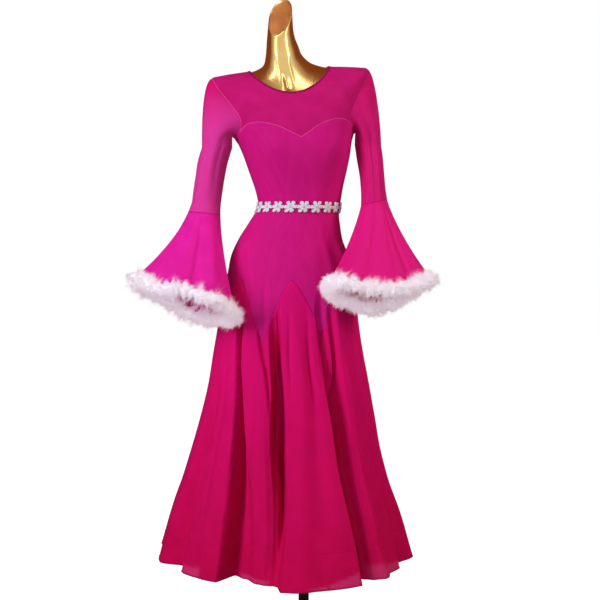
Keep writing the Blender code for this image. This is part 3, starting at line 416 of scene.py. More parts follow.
# %% [markdown]
# ## Making a sheet of cloth
#
# Each panel starts as a grid primitive with as many squares as the panel needs. Its points are
# moved to the surface, its UV map is laid out in metres along the cloth, so that a weave has
# the same size on every piece, and Solidify gives it its wall, inwards. The same cell makes
# piping, which is a narrow tube along a seam.

# %% Cloth and piping
CLOTH = 0.0008           # wall of the cloth, metres
made = {}                # area of each sheet as it lies on the dress, square metres


def lay_points(name, points, finish, join=False, sheer_and_painted_light=None):
    """A grid primitive bent to the points. Where its edges meet, join welds them; the last
    argument is a mask kept with each point for the materials that read it. It marks sheer net,
    and the places where light is painted paler or shade painted darker into the colour."""
    rows, columns = points.shape[:2]
    bpy.ops.object.select_all(action="DESELECT")
    bpy.ops.mesh.primitive_grid_add(x_subdivisions=columns - 1, y_subdivisions=rows - 1, size=1.0)
    piece = bpy.context.object
    piece.name = piece.data.name = name
    mesh = piece.data
    mesh.vertices.foreach_set("co", points.reshape(-1))
    across = np.cumsum(np.linalg.norm(np.diff(points, axis=1, prepend=points[:, :1]), axis=2), 1)
    along = np.cumsum(np.linalg.norm(np.diff(points, axis=0, prepend=points[:1]), axis=2), 0)
    across -= across[:, -1:] / 2
    flat = np.stack([across, along], -1).reshape(-1, 2)
    corner = np.empty(len(mesh.loops), int)
    mesh.loops.foreach_get("vertex_index", corner)
    mesh.uv_layers.active.uv.foreach_set("vector", flat[corner].reshape(-1).astype(np.float32))
    if sheer_and_painted_light is not None:
        mesh.attributes.new("sheer_and_painted_light", "FLOAT", "POINT").data.foreach_set(
            "value", sheer_and_painted_light.reshape(-1).astype(np.float32))
    if join:
        bpy.ops.object.mode_set(mode="EDIT")
        bpy.ops.mesh.select_all(action="SELECT")
        bpy.ops.mesh.remove_doubles(threshold=0.00002)
        bpy.ops.object.mode_set(mode="OBJECT")
    mesh.materials.append(finish)
    bpy.ops.object.shade_smooth()
    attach(piece, "root")
    return piece


def thicken(piece, wall):
    """Gives a sheet its wall, inwards."""
    bpy.ops.object.modifier_add(type="SOLIDIFY")
    piece.modifiers[-1].thickness = wall
    piece.modifiers[-1].offset = -1.0
    bpy.ops.object.modifier_apply(modifier=piece.modifiers[-1].name)


def add_cloth(name, points, finish, closed=False, sheer_and_painted_light=None):
    """A sheet of cloth through a grid of points, which may close round as a tube."""
    piece = lay_points(name, points, finish, closed, sheer_and_painted_light)
    made[name] = sum(face.area for face in piece.data.polygons)
    thicken(piece, CLOTH)
    print(f"{name}: {made[name]:.4f} m2, {len(piece.data.polygons)} faces")
    return piece


def add_piping(name, path, normals, finish, half_width, height, lift=0.0):
    """A thin oval tube along a path that lies on the cloth; it closes if its ends meet."""
    closed = np.linalg.norm(path[0] - path[-1]) < 1e-6
    along = unit(np.gradient(path, axis=0))
    if closed:
        along[0] = along[-1] = unit(path[1] - path[-2])
    side = unit(np.cross(normals, along))
    turns = np.linspace(0.0, 2 * math.pi, 9)[:, None, None]
    points = (path + normals * lift + side * np.cos(turns) * half_width
              - normals * np.sin(turns) * height)
    piece = lay_points(name, points.transpose(1, 0, 2), finish, join=True)
    if not closed:
        bpy.ops.object.mode_set(mode="EDIT")
        bpy.ops.mesh.select_mode(type="EDGE")
        bpy.ops.mesh.select_all(action="DESELECT")
        bpy.ops.mesh.select_non_manifold()
        bpy.ops.mesh.fill_holes(sides=0)
        bpy.ops.object.mode_set(mode="OBJECT")
    return piece


def add_seam(name, ring, angle, finish, half_width, height, lift=0.0):
    """Piping on the dress body, through rings and angles."""
    return add_piping(name, dress_at(ring, angle), normal_at(ring, angle), finish,
                      half_width, height, lift)


# %% [markdown]
# ## Materials
#
# The dress is one colour in four cloths, and what tells them apart is how they take light.
# Stretch satin jersey is knitted and brushed smooth, so it has a broad soft sheen. Crepe is
# spun with a hard twist that scatters the light, so the skirt looks matte and a little redder.
# The yoke and sleeves are an open net, and what is under them shows through. Real yarns are
# finer than a quarter of a millimetre, too fine to show, so each pattern is drawn about four
# times coarser, and its contrast is kept low.

# %% Stretch satin jersey
def knit_bump(tree, shader, stitch, depth):
    """Columns of stitches along the cloth, as a low relief; stitch is their width in metres."""
    spot = add_node(tree, "ShaderNodeTexCoord").outputs["UV"]
    weave = add_node(tree, "ShaderNodeTexWave", {
        "Vector": spot, "Scale": 1.0 / (stitch * 6.283 * 0.5),
        "Distortion": 1.5, "Detail": 1.0, "Detail Scale": 2.0}, bands_direction="X")
    bump = add_node(tree, "ShaderNodeBump", {"Height": weave.outputs["Fac"],
                                             "Strength": depth, "Distance": 0.0004})
    tree.links.new(bump.outputs["Normal"], shader.inputs["Normal"])
    return weave


def tinted(tree, shader, light, dark, size, source="UV"):
    """Clouds of two near colours over the cloth, each about size metres across."""
    spot = add_node(tree, "ShaderNodeTexCoord").outputs[source]
    cloud = add_node(tree, "ShaderNodeTexNoise", {"Vector": spot, "Scale": 1.0 / size,
                                                  "Detail": 3.0, "Roughness": 0.55})
    ramp = add_node(tree, "ShaderNodeValToRGB", {"Fac": cloud.outputs["Fac"]})
    ramp.color_ramp.elements[0].position, ramp.color_ramp.elements[1].position = 0.35, 0.65
    ramp.color_ramp.elements[0].color = colour(dark)
    ramp.color_ramp.elements[1].color = colour(light)
    tree.links.new(ramp.outputs["Color"], shader.inputs["Base Color"])
    return ramp


def grainy(tree, shader, scale, depth, rise, source="UV"):
    """A fine random relief, as crepe or embroidery has; rise is its height in metres."""
    spot = add_node(tree, "ShaderNodeTexCoord").outputs[source]
    grain = add_node(tree, "ShaderNodeTexNoise", {"Vector": spot, "Scale": scale})
    bump = add_node(tree, "ShaderNodeBump", {"Height": grain.outputs["Fac"], "Strength": depth,
                                             "Distance": rise})
    tree.links.new(bump.outputs["Normal"], shader.inputs["Normal"])


satin, tree, shader = new_material(
    "stretch_satin_jersey_knitted", Roughness=0.55, Specular_IOR_Level=0.05, Sheen_Weight=0.02,
    Sheen_Roughness=0.4, Sheen_Tint=colour("FF30A8"))
tinted(tree, shader, "D61B86", "CF1780", 0.05)
knit_bump(tree, shader, 0.0010, 0.18)

# %% Brighter satin of the bell cuffs
bell_satin, tree, shader = new_material(
    "bright_satin_jersey_knitted", Roughness=0.50, Specular_IOR_Level=0.10, Sheen_Weight=0.04,
    Sheen_Roughness=0.4, Sheen_Tint=colour("FF40B8"))
ramp = tinted(tree, shader, "EE22AA", "E61CA0", 0.06)
# painted shade: where the mask is 1, on the right bell, the satin is painted a darker, redder pink
right_bell_painted_shade = add_node(tree, "ShaderNodeAttribute", attribute_name="sheer_and_painted_light").outputs["Fac"]
tone = add_node(tree, "ShaderNodeMix", {"Factor": right_bell_painted_shade, "A": ramp.outputs["Color"],
                                        "B": colour("E61A84")}, data_type="RGBA")
tree.links.new(tone.outputs["Result"], shader.inputs["Base Color"])
knit_bump(tree, shader, 0.0010, 0.18)

# %% Crepe of the skirt
crepe, tree, shader = new_material(
    "crepe_woven_matte", Roughness=0.80, Specular_IOR_Level=0.04, Sheen_Weight=0.02,
    Sheen_Roughness=0.5, Sheen_Tint=colour("FF3080"))
ramp = tinted(tree, shader, "CE0A54", "C4084C", 0.07)
# painted light: the hem strips are painted paler, for light coming through the crepe
painted_light_mask = add_node(tree, "ShaderNodeAttribute", attribute_name="sheer_and_painted_light").outputs["Fac"]
painted_light_through = add_node(tree, "ShaderNodeMix", {"Factor": painted_light_mask, "A": ramp.outputs["Color"],
                                        "B": colour("D0306E")}, data_type="RGBA")
# painted shade: the crepe is painted darker and redder towards the hem and paler and pinker
# towards the hips, as the light falls off downwards
place = add_node(tree, "ShaderNodeTexCoord").outputs["Object"]
height = add_node(tree, "ShaderNodeSeparateXYZ", {"Vector": place}).outputs["Z"]
light_falloff_share = add_node(tree, "ShaderNodeMapRange", {"Value": height, "From Min": 0.22,
                                                 "From Max": 0.90, "To Max": 0.80})
painted_hem_shade = add_node(tree, "ShaderNodeMix", {"Factor": light_falloff_share.outputs["Result"],
                                            "A": painted_light_through.outputs["Result"],
                                            "B": colour("E6127E")}, data_type="RGBA")
tree.links.new(painted_hem_shade.outputs["Result"], shader.inputs["Base Color"])
grainy(tree, shader, 900.0, 0.22, 0.0004)

# %% Stretch net of the yoke and sleeves
def make_net(name, light, dark, cover, thin, nap):
    """Open net. Cover is how much of the light one layer of it stops; where its mask is 1, the
    net lets more light through and takes the thin tone, with moiré stripes over it. The thin
    tone is paler: painted light, for light coming through the net."""
    net, tree, shader = new_material(name, Roughness=0.62, Specular_IOR_Level=0.12,
                                     Sheen_Weight=nap, Sheen_Roughness=0.4,
                                     Sheen_Tint=colour("FF50C0"))
    ramp = tinted(tree, shader, light, dark, 0.05)
    weave = knit_bump(tree, shader, 0.0012, 0.15)
    sheer_and_painted_light = add_node(tree, "ShaderNodeAttribute", attribute_name="sheer_and_painted_light").outputs["Fac"]
    spot = add_node(tree, "ShaderNodeTexCoord").outputs["UV"]
    ripple = add_node(tree, "ShaderNodeTexWave", {"Vector": spot, "Scale": 30.0, "Distortion": 8.0,
                                                  "Detail": 2.0, "Detail Scale": 1.0},
                      bands_direction="X")
    moire = add_node(tree, "ShaderNodeMix", {"Factor": ripple.outputs["Fac"], "A": colour(thin),
                                             "B": colour("E644B0")}, data_type="RGBA")
    tone = add_node(tree, "ShaderNodeMix", {"Factor": sheer_and_painted_light, "A": ramp.outputs["Color"],
                                            "B": moire.outputs["Result"]}, data_type="RGBA")
    tree.links.new(tone.outputs["Result"], shader.inputs["Base Color"])
    # The weave swings the cover up and down by 0.06, and the sheer parts stop 0.10 less.
    least = add_node(tree, "ShaderNodeMath", {0: sheer_and_painted_light, 1: -0.10, 2: cover - 0.06},
                     operation="MULTIPLY_ADD")
    holes = add_node(tree, "ShaderNodeMath", {0: weave.outputs["Fac"], 1: 0.12,
                                              2: least.outputs["Value"]}, operation="MULTIPLY_ADD")
    tree.links.new(holes.outputs["Value"], shader.inputs["Alpha"])
    return net


yoke_net = make_net("stretch_net_over_the_shoulders", "DA1780", "CE1474", 0.87, "F426A4", 0.06)
# the sleeves' paler thin tone is painted light, for light coming through the net
sleeve_net = make_net("stretch_net_of_the_sleeves", "E6147E", "DC1074", 0.86, "FF36A8", 0.28)

# %% Seam thread and bindings
def make_thread(name, light, dark, roughness, shine):
    """Spun polyester, or a folded strip of the net, in two near tones."""
    finish, tree, shader = new_material(name, Roughness=roughness, Specular_IOR_Level=shine)
    tinted(tree, shader, light, dark, 0.02)
    return finish


# painted highlight: this paler thread makes the sweetheart and left armhole seams read as lines
# catching the light
painted_highlight_thread = make_thread("seam_thread_painted_highlight", "EC48A4", "E23C98", 0.6, 0.5)
thread = make_thread("polyester_seam_binding", "DA1A88", "CE147C", 0.6, 0.5)
hem_thread = make_thread("polyester_hem_thread", "D2105C", "C60C54", 0.7, 0.03)
elbow_thread = make_thread("polyester_overlock_thread", "D01080", "C00C70", 0.7, 0.1)
# painted shade: the binding is painted dark, a line of shade along the neckline and the rolled hem
binding_painted_shade = make_thread("folded_binding_painted_shade", "A3125A", "960F50", 0.7, 0.1)

# %% Gold lacquer, dark bronze
def uneven_gloss(tree, shader, scale, least, most):
    """Roughness that wanders between two values, as on a sprayed or handled metal."""
    spot = add_node(tree, "ShaderNodeTexCoord").outputs["Object"]
    haze = add_node(tree, "ShaderNodeTexNoise", {"Vector": spot, "Scale": scale, "Detail": 4.0})
    gloss = add_node(tree, "ShaderNodeMapRange", {"Value": haze.outputs["Fac"],
                                                  "To Min": least, "To Max": most})
    tree.links.new(gloss.outputs["Result"], shader.inputs["Roughness"])


gold, tree, shader = new_material("gold_lacquer_sprayed_gloss", Metallic=1.0, Coat_Weight=0.8,
                                  Coat_Roughness=0.10)
tinted(tree, shader, "F8D68A", "EEC478", 0.09, source="Object")
uneven_gloss(tree, shader, 14.0, 0.17, 0.24)

# painted shade: the neck plate is the gold lacquer in a darker bronze brown, for the dimmer room
# it reflects
neck_plate_painted_shade, tree, shader = new_material("gold_lacquer_painted_shade_plate", Metallic=0.35,
                                        Roughness=0.42)
tinted(tree, shader, "D08444", "B87038", 0.05, source="Object")

bronze, tree, shader = new_material("dark_bronze_plated_steel", Metallic=1.0)
tinted(tree, shader, "5A4028", "45301E", 0.03, source="Object")
uneven_gloss(tree, shader, 60.0, 0.22, 0.42)

# %% White down and cotton lace
feather, tree, shader = new_material("marabou_down_barbs", Roughness=0.85, Sheen_Weight=0.4,
                                     Sheen_Roughness=0.5)
tinted(tree, shader, "FDFCFF", "F8F2FA", 0.012, source="Object")
# painted light: a faint white glow makes the down brighter, for light scattered in the pile
shader.inputs["Emission Color"].default_value = colour("FFF8FC")
shader.inputs["Emission Strength"].default_value = 0.16
lit_through = add_node(tree, "ShaderNodeBsdfTranslucent", {"Color": colour("FFFAFD")})
mixed = add_node(tree, "ShaderNodeMixShader", {"Fac": 0.35})
tree.links.new(shader.outputs["BSDF"], mixed.inputs[1])
tree.links.new(lit_through.outputs["BSDF"], mixed.inputs[2])
tree.links.new(mixed.outputs["Shader"], tree.nodes["Material Output"].inputs["Surface"])

lace, tree, shader = new_material("guipure_cotton_embroidered", Roughness=0.75,
                                  Sheen_Weight=0.2)
tinted(tree, shader, "F2F1F8", "DFE1EC", 0.004, source="Object")
grainy(tree, shader, 1400.0, 0.4, 0.0003, source="Object")
heart, tree, shader = new_material("guipure_flower_hearts", Roughness=0.7)
tinted(tree, shader, "C9D6E6", "B4C4DA", 0.003, source="Object")
print("materials:", len(bpy.data.materials))

# %% [markdown]
# ## Dress form and stand
#
# The form is a moulded fibreglass torso, sprayed gold and lacquered, so its light comes in
# long clean streaks. That only works on a smooth shell, so it is lofted again with five times
# the sides of the solid. A shallow hollow at the base of the neck catches two small glints.
# The slanted cut at the top of the neck is a flat plate of the same lacquer, painted a dark
# bronze brown: painted shade, for the dimmer room it reflects.

# %% Dress form
# ring and how far the form lies under the cloth there
FORM_CLEAR = ((0.800, 0.028), (0.870, 0.012), (0.950, 0.0030), (1.600, 0.0030))
# the neck's hollow and the two tendons beside it, written as creases are
FORM_MARKS = (
    (-0.0040, 7.0, ((1.400, -9.0), (1.372, -8.0), (1.345, -8.0))),
    (0.0016, 5.0, ((1.440, -26.0), (1.400, -22.0), (1.350, -17.0))),
    (0.0016, 5.0, ((1.440, 12.0), (1.400, 8.0), (1.350, 1.0))),
)


def form_rings(levels, angles):
    """Rings of the form, a little under the cloth, and lower under the shoulders."""
    ring, angle = np.meshgrid(levels, angles, indexing="ij")
    depth = np.interp(ring, *zip(*FORM_CLEAR))
    grow = cup_rise(ring, angle) - depth + creases_at(FORM_MARKS, ring, angle)
    points = ring_at(ring, angle, grow)
    share = np.clip((ring - PIT_RING) / (SHOULDER_RING - PIT_RING), 0.0, 1.0)
    points[..., 2] -= depth * share
    return points


def cap_rings(rim, steps):
    """Rings that close an end of the form: each is the rim, scaled and raised."""
    middle = rim.mean(0)
    return [middle + (rim - middle) * scale + np.array([0, 0, rise]) for scale, rise in steps]


angles = np.linspace(0.0, 360.0, 121)
levels = np.concatenate([np.linspace(0.8, 1.24, 46), np.linspace(1.246, 1.36, 40),
                         np.linspace(1.364, BODY[-1, FRONT_Z], 40)])
rings = form_rings(levels, angles)
foot = cap_rings(rings[0], ((0.0, 0.0), (0.9, 0.0), (0.985, 0.0006)))
plate = cap_rings(rings[-1], ((0.985, 0.0007), (0.94, 0.0010), (0.90, -0.0012), (0.5, -0.0012),
                              (0.0, -0.0012)))
form = lay_points("form_torso_shell", np.concatenate([foot, rings, plate]), gold,
                  join=True)
form.data.materials.append(neck_plate_painted_shade)
neck_top = Vector(rings[-1].mean(0))
for face in form.data.polygons:
    on_plate = (face.center - neck_top).length < 0.05 and face.center.z > 1.49
    face.material_index = int(on_plate and face.normal.z > 0.45)
bpy.ops.object.shade_smooth_by_angle(angle=math.radians(40.0))
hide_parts("dress_form")
print("form:", len(form.data.polygons), "faces")


# %% [markdown]
# ## Pole and base
#
# The pole is a steel tube with a flange that the form sits on. It is turned from a cylinder
# primitive: its top face is extruded and scaled three times, and a bevel rounds the edges. The
# base is a flat disc whose middle is inset and drawn up into a short socket.

# %% Turned parts
def draw_up(piece, steps):
    """Extrudes the top face of a cylinder through steps of (rise, scale)."""
    bpy.ops.object.mode_set(mode="EDIT")
    bpy.ops.mesh.select_mode(type="FACE")
    bpy.ops.mesh.select_all(action="DESELECT")
    bpy.ops.object.mode_set(mode="OBJECT")
    top_face = max(piece.data.polygons, key=lambda face: face.center.z)
    top_face.select = True
    bpy.ops.object.mode_set(mode="EDIT")
    for rise, scale in steps:
        bpy.ops.mesh.extrude_region_move(TRANSFORM_OT_translate={"value": (0.0, 0.0, rise)})
        bpy.ops.transform.resize(value=(scale, scale, 1.0))
    bpy.ops.object.mode_set(mode="OBJECT")


def finish_turned(piece, name, node, bevel):
    """Rounds the edges, applies everything, and lets the piece replace its solid."""
    piece.name = piece.data.name = name
    bpy.ops.object.transform_apply(location=True, rotation=True, scale=True)
    bpy.ops.object.modifier_add(type="BEVEL")
    piece.modifiers[-1].width = bevel
    piece.modifiers[-1].segments = 3
    piece.modifiers[-1].limit_method = "ANGLE"
    bpy.ops.object.modifier_apply(modifier=piece.modifiers[-1].name)
    bpy.ops.object.shade_smooth_by_angle(angle=math.radians(35.0))
    piece.data.materials.append(bronze)
    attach(piece, "root")
    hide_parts(node)
    print(f"{name}: {len(piece.data.polygons)} faces")


# sides, radius, foot and top of the cylinder, then steps up of (rise, scale), and the bevel
for name, node, sides, radius, foot, top, steps, bevel in (
        ("pole_with_flange", "stand_pole", 72, 0.013, 0.0403, 0.7697,
         ((0.020, 1.5), (0.004, 45.0 / 19.5), (0.006, 1.0)), 0.0008),
        ("round_base_with_socket", "stand_base", 144, 0.185, 0.0, 0.012,
         ((0.0, 28.0 / 185.0), (0.004, 24.0 / 28.0), (0.024, 22.0 / 24.0)), 0.0018)):
    bpy.ops.object.select_all(action="DESELECT")
    bpy.ops.mesh.primitive_cylinder_add(vertices=sides, radius=radius, depth=top - foot,
                                        location=(0.0, 0.0, (foot + top) / 2))
    turned = bpy.context.object
    draw_up(turned, steps)
    finish_turned(turned, name, node, bevel)

# %% [markdown]
# ## Bodice and yoke
#
# The bodice is cut in two panels, front and back, that meet at the side seams. Its lower edge
# is a zigzag: long points run down between the skirt's godets. Its upper edge is a sweetheart
# line in front and level behind. The yoke is open net from there to the round neckline, and
# its sides are the armholes.

# %% Seam lines
# angle and height of each point of the zigzag; angle and ring along the sweetheart line
ZIGZAG = ((-4.0, 0.890), (22.8, 0.755), (54.0, 0.896), (90.0, 0.755), (123.0, 0.893),
          (150.0, 0.755), (180.0, 0.893), (210.0, 0.755), (237.0, 0.893), (270.0, 0.755),
          (304.0, 0.896), (333.6, 0.738), (356.0, 0.890))
SWEETHEART = ((0.0, 1.2345), (8.0, 1.2465), (20.0, 1.2665), (30.0, 1.2745), (37.0, 1.2765),
              (47.0, 1.2735), (57.0, 1.2655), (66.0, 1.2570))
# ring, angle from the centre front, angle from the centre back
ARMHOLE = ((1.2450, 90.0, 90.0), (1.2485, 76.0, 78.0), (1.2525, 66.0, 70.0),
           (1.2620, 57.0, 64.0), (1.2740, 53.0, 61.0), (1.2880, 57.0, 63.0),
           (1.3020, 67.0, 70.0), (1.3110, 78.0, 79.0), (1.3160, 90.0, 90.0))
YOKE_RING = 1.2525
FRONT, BACK = 1, 2       # columns of the armhole's rows
SIDE_EDGE = 89.97        # angle where a panel ends at the side seam
HALF_SEAM = 0.00008      # half the gap between two panels, metres


def zigzag_at(angle):
    """Height of the zigzag seam: from each point it rises steeply, then rounds off."""
    angle = (angle + 4.0) % 360.0 - 4.0
    places, heights = np.array(ZIGZAG).T
    n = np.clip(np.searchsorted(places, angle, side="right") - 1, 0, len(places) - 2)
    share = (angle - places[n]) / (places[n + 1] - places[n])
    rise = heights[n + 1] - heights[n]
    share = np.where(rise > 0, share, 1.0 - share)
    return np.minimum(heights[n], heights[n + 1]) + np.abs(rise) * (1 - (1 - share)**1.45)


def ring_through(height, angle):
    """Ring that passes through a height at an angle, the shoulders' tilt apart. The ring is
    found by halving a span of rings until it is far below a millimetre."""
    low, high = np.full(np.shape(height), HEM_Z), np.full(np.shape(height), NECK_RING)
    ahead = np.abs(np.cos(np.radians(angle)))**SHOULDER_BEND
    for _ in range(30):
        middle = (low + high) / 2
        side_z = smooth_at(BODY, middle, SIDE_Z)
        under = side_z + (middle - side_z) * ahead < height
        low, high = np.where(under, middle, low), np.where(under, high, middle)
    return (low + high) / 2


def armhole_at(ring, half):
    """Angle of the armhole's edge at a ring, from the centre front or back."""
    return np.where(ring < SHOULDER_RING, smooth_at(ARMHOLE, ring, half), 90.0)


def yoke_seam_at(angle, half):
    """Ring of the seam between bodice and yoke."""
    if half == BACK:
        return np.full(np.shape(angle), YOKE_RING)
    return ring_through(smooth_at(SWEETHEART, np.abs(angle), 1), angle)


def bodice_top_at(angle, half):
    """Ring of the bodice's top edge: the yoke seam, then round under the armhole."""
    edge = ARMHOLE[2][half]
    under = np.interp(-np.abs(angle), [-row[half] for row in ARMHOLE[:3]],
                      [row[0] for row in ARMHOLE[:3]])
    return np.where(np.abs(angle) <= edge, yoke_seam_at(angle, half), under)


# %% Bodice panels
def body_sheet(name, ring, angle, half, finish):
    """A sheet on the dress body, its angles taken from the centre front or back."""
    return add_cloth(name, dress_at(ring, angle if half == FRONT else angle + 180.0),
                     finish)


for name, half, node in (("bodice_front_satin", FRONT, "bodice_front"),
                         ("bodice_back_satin", BACK, "bodice_back")):
    corners = [(row[0] - 180.0 * (half == BACK) + 180.0) % 360.0 - 180.0 for row in ZIGZAG[:-1]]
    across = np.unique([*np.linspace(-SIDE_EDGE, SIDE_EDGE, 121),
                        *(corner for corner in corners if abs(corner) < 89)])
    bottom = zigzag_at(across if half == FRONT else across + 180.0) + HALF_SEAM
    top = bodice_top_at(across, half) - HALF_SEAM
    share = np.linspace(0.0, 1.0, 101)[:, None]
    panel = body_sheet(name, bottom + (top - bottom) * share, across[None, :], half, satin)
    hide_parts(node)

# %% Yoke panels
for name, half, node in (("yoke_front_net", FRONT, "yoke_front"),
                         ("yoke_back_net", BACK, "yoke_back")):
    edge = ARMHOLE[2][half]
    across = np.linspace(-edge, edge, 97)
    start = yoke_seam_at(across, half) + HALF_SEAM
    share = np.linspace(0.0, 1.0, 41)[:, None]
    ring = start + (NECK_RING - start) * share
    limit = armhole_at(YOKE_RING + (NECK_RING - YOKE_RING) * share, half)
    panel = body_sheet(name, ring, across * np.minimum(limit, SIDE_EDGE) / edge, half, yoke_net)
    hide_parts(node)

# %% [markdown]
# ## Skirt
#
# Six godets hang from the zigzag seam. A godet is a wedge with a pointed top that adds width
# towards the hem, and the width falls in flutes. Each one is a sheet that narrows to its point,
# so the seams run where the flutes begin. Inside the hem a stiff woven band holds the flutes
# open; outside it shows as a stitched line. Uneven strips just above the hem are painted
# paler: painted light, for light coming through the crepe.

# %% Godets
# Skirt seams between godets: angle at the hip point, angle at the hem.
GODET_SEAMS = ((-26.4, -14.5), (22.8, 29.0), (90.0, 90.0), (150.0, 149.0), (210.0, 209.0),
               (270.0, 270.0), (333.6, 345.5))
GODET_SEAM_Z = 0.755     # the tips of the bodice's points
HEM_BAND, BAND_DEPTH = 0.087, 0.0014         # the band's height, and how far inside it lies


def seam_at(seam, z):
    """Angle of a skirt seam at a height."""
    drop = np.clip((GODET_SEAM_Z - z) / (GODET_SEAM_Z - HEM_Z), 0.0, 1.0)
    return seam[0] + (seam[1] - seam[0]) * drop


# Strips over the hem painted paler, as painted light coming through one layer of crepe: from
# angle, to angle, height in metres at each of them. A strip fades in and out over a twelfth of its
# length.
SHEER = ((-70.0, -46.0, 0.012, 0.026), (-31.0, -13.0, 0.012, 0.013), (0.0, 9.0, 0.004, 0.012),
         (9.0, 23.0, 0.012, 0.030), (30.0, 40.0, 0.032, 0.034), (40.0, 62.0, 0.024, 0.014),
         (96.0, 118.0, 0.010, 0.022), (135.0, 158.0, 0.020, 0.012), (186.0, 206.0, 0.010, 0.024),
         (224.0, 250.0, 0.018, 0.010))


def sheer_at(z, angle):
    """How much the crepe is painted paler over the hem, as painted light, 0 to 1."""
    angle = (angle + 90.0) % 360.0 - 90.0
    painted_light_through = np.zeros(np.shape(angle))
    for start, end, low, high in SHEER:
        share = (angle - start) / (end - start)
        height = low + (high - low) * np.clip(share, 0.0, 1.0)
        inside = np.clip(share * 12, 0, 1) * np.clip((1 - share) * 12, 0, 1)
        edge = np.clip((height - (z - HEM_Z)) / 0.005, 0, 1) * np.clip((z - HEM_Z) / 0.004, 0, 1)
        painted_light_through = np.maximum(painted_light_through, inside * edge)
    return painted_light_through


for number, (low, high) in enumerate(zip(GODET_SEAMS, GODET_SEAMS[1:]), 1):
    share = np.linspace(0.0, 1.0, 131)
    tip = zigzag_at(low[0] + (high[0] - low[0]) * share) - HALF_SEAM
    z = HEM_Z + (tip - HEM_Z) * (np.linspace(0.0, 1.0, 81)[:, None])**1.15
    left, right = seam_at(low, z), seam_at(high, z)
    angle = left + (right - left) * share
    # each godet carries the mask of the hem's painted light
    godet = add_cloth(f"godet_{number}_crepe", dress_at(z, angle), crepe,
                      sheer_and_painted_light=sheer_at(z, angle))
    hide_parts(f"skirt_godet_{number}")

# %% Stiff hem band and rolled hem
around = np.linspace(0.0, 360.0, 721)
z = np.linspace(HEM_Z + 0.0015, HEM_Z + HEM_BAND, 8)[:, None]
band = add_cloth("hem_band_woven", dress_at(z, around) - normal_at(z, around) * BAND_DEPTH,
                 crepe, closed=True)
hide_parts("hem_band")
# the rolled hem takes the binding's painted shade
hem_roll = add_seam("rolled_hem", HEM_Z + 0.0006, around, binding_painted_shade, 0.0011, 0.0011,
                    lift=-0.0003)
hem_stitch = add_seam("hem_stitching", HEM_Z + HEM_BAND - 0.012, around, hem_thread,
                      0.0009, 0.0004)

# %% [markdown]
# ## Sleeves
#
# A set-in sleeve is a tube. Its head follows the armhole edge and turns down over the shoulder,
# and it ends in a seam at the elbow, a little lower on the left arm. The net is light, so it
# hangs in a few long uneven creases, drawn here as soft troughs and ridges along the arm. The
# sleeve's shape is set out first, and both sleeves are made together with their bells.

# %% Sleeve rings
SIDES = {"left": -1.0, "right": 1.0}     # the way in x that each arm lies
SLEEVE_RINGS = {         # z, x, y, half_width, half_depth
    "left": ((1.215, -0.2135, -0.027, 0.0375, 0.048), (1.180, -0.2240, -0.028, 0.0372, 0.047),
             (1.145, -0.2305, -0.029, 0.0360, 0.046), (1.110, -0.2360, -0.030, 0.0358, 0.045),
             (1.080, -0.2400, -0.031, 0.0355, 0.044)),
    "right": ((1.225, 0.1610, 0.025, 0.0330, 0.047), (1.187, 0.1660, 0.017, 0.0325, 0.046),
              (1.148, 0.1705, 0.008, 0.0305, 0.045), (1.110, 0.1730, -0.004, 0.0305, 0.044),
              (1.080, 0.1745, -0.016, 0.0325, 0.043)),
}
ROLL_START_Z, ELBOW_Z = 1.225, 1.080
ELBOW_ROLL = {"left": 0.08, "right": 0.20}         # slope of the elbow seam across the arm
HEAD_FULLNESS = {"left": 0.060, "right": 0.040}    # how boldly the head leaves the shoulder
HEAD_DROP = np.array([0.0, 0.0, -0.120])           # which way it points at the first ring
# height, half width in degrees, path of (share down the arm, turn from the outer side)
SLEEVE_CREASES = {
    "left": ((-0.0022, 9.0, ((0.28, 118.0), (0.60, 112.0), (0.98, 118.0))),
             (0.0016, 9.0, ((0.34, 92.0), (0.66, 88.0), (0.96, 94.0))),
             (-0.0016, 12.0, ((0.46, 60.0), (0.62, 74.0), (0.80, 62.0))),
             (0.0014, 10.0, ((0.60, 40.0), (0.78, 52.0), (1.02, 46.0))),
             (-0.0018, 11.0, ((0.70, 20.0), (0.86, 34.0), (1.04, 28.0))),
             (-0.0020, 10.0, ((0.30, 250.0), (0.66, 244.0), (1.02, 252.0))),
             (0.0014, 10.0, ((0.40, 290.0), (0.70, 284.0), (0.98, 292.0))),
             (-0.0014, 10.0, ((0.20, 168.0), (0.50, 176.0), (0.90, 170.0)))),
    "right": ((-0.0046, 6.0, ((0.04, 66.0), (0.50, 82.0), (1.04, 88.0))),
              (0.0036, 6.0, ((0.06, 46.0), (0.56, 60.0), (1.00, 66.0))),
              (-0.0034, 7.0, ((0.08, 26.0), (0.60, 38.0), (1.02, 44.0))),
              (0.0034, 7.0, ((0.14, 100.0), (0.60, 112.0), (0.98, 110.0))),
              (-0.0020, 10.0, ((0.26, 140.0), (0.60, 136.0), (1.02, 142.0))),
              (-0.0020, 10.0, ((0.24, 232.0), (0.60, 240.0), (1.02, 236.0))),
              (0.0014, 10.0, ((0.36, 300.0), (0.70, 296.0), (0.98, 304.0)))),
}


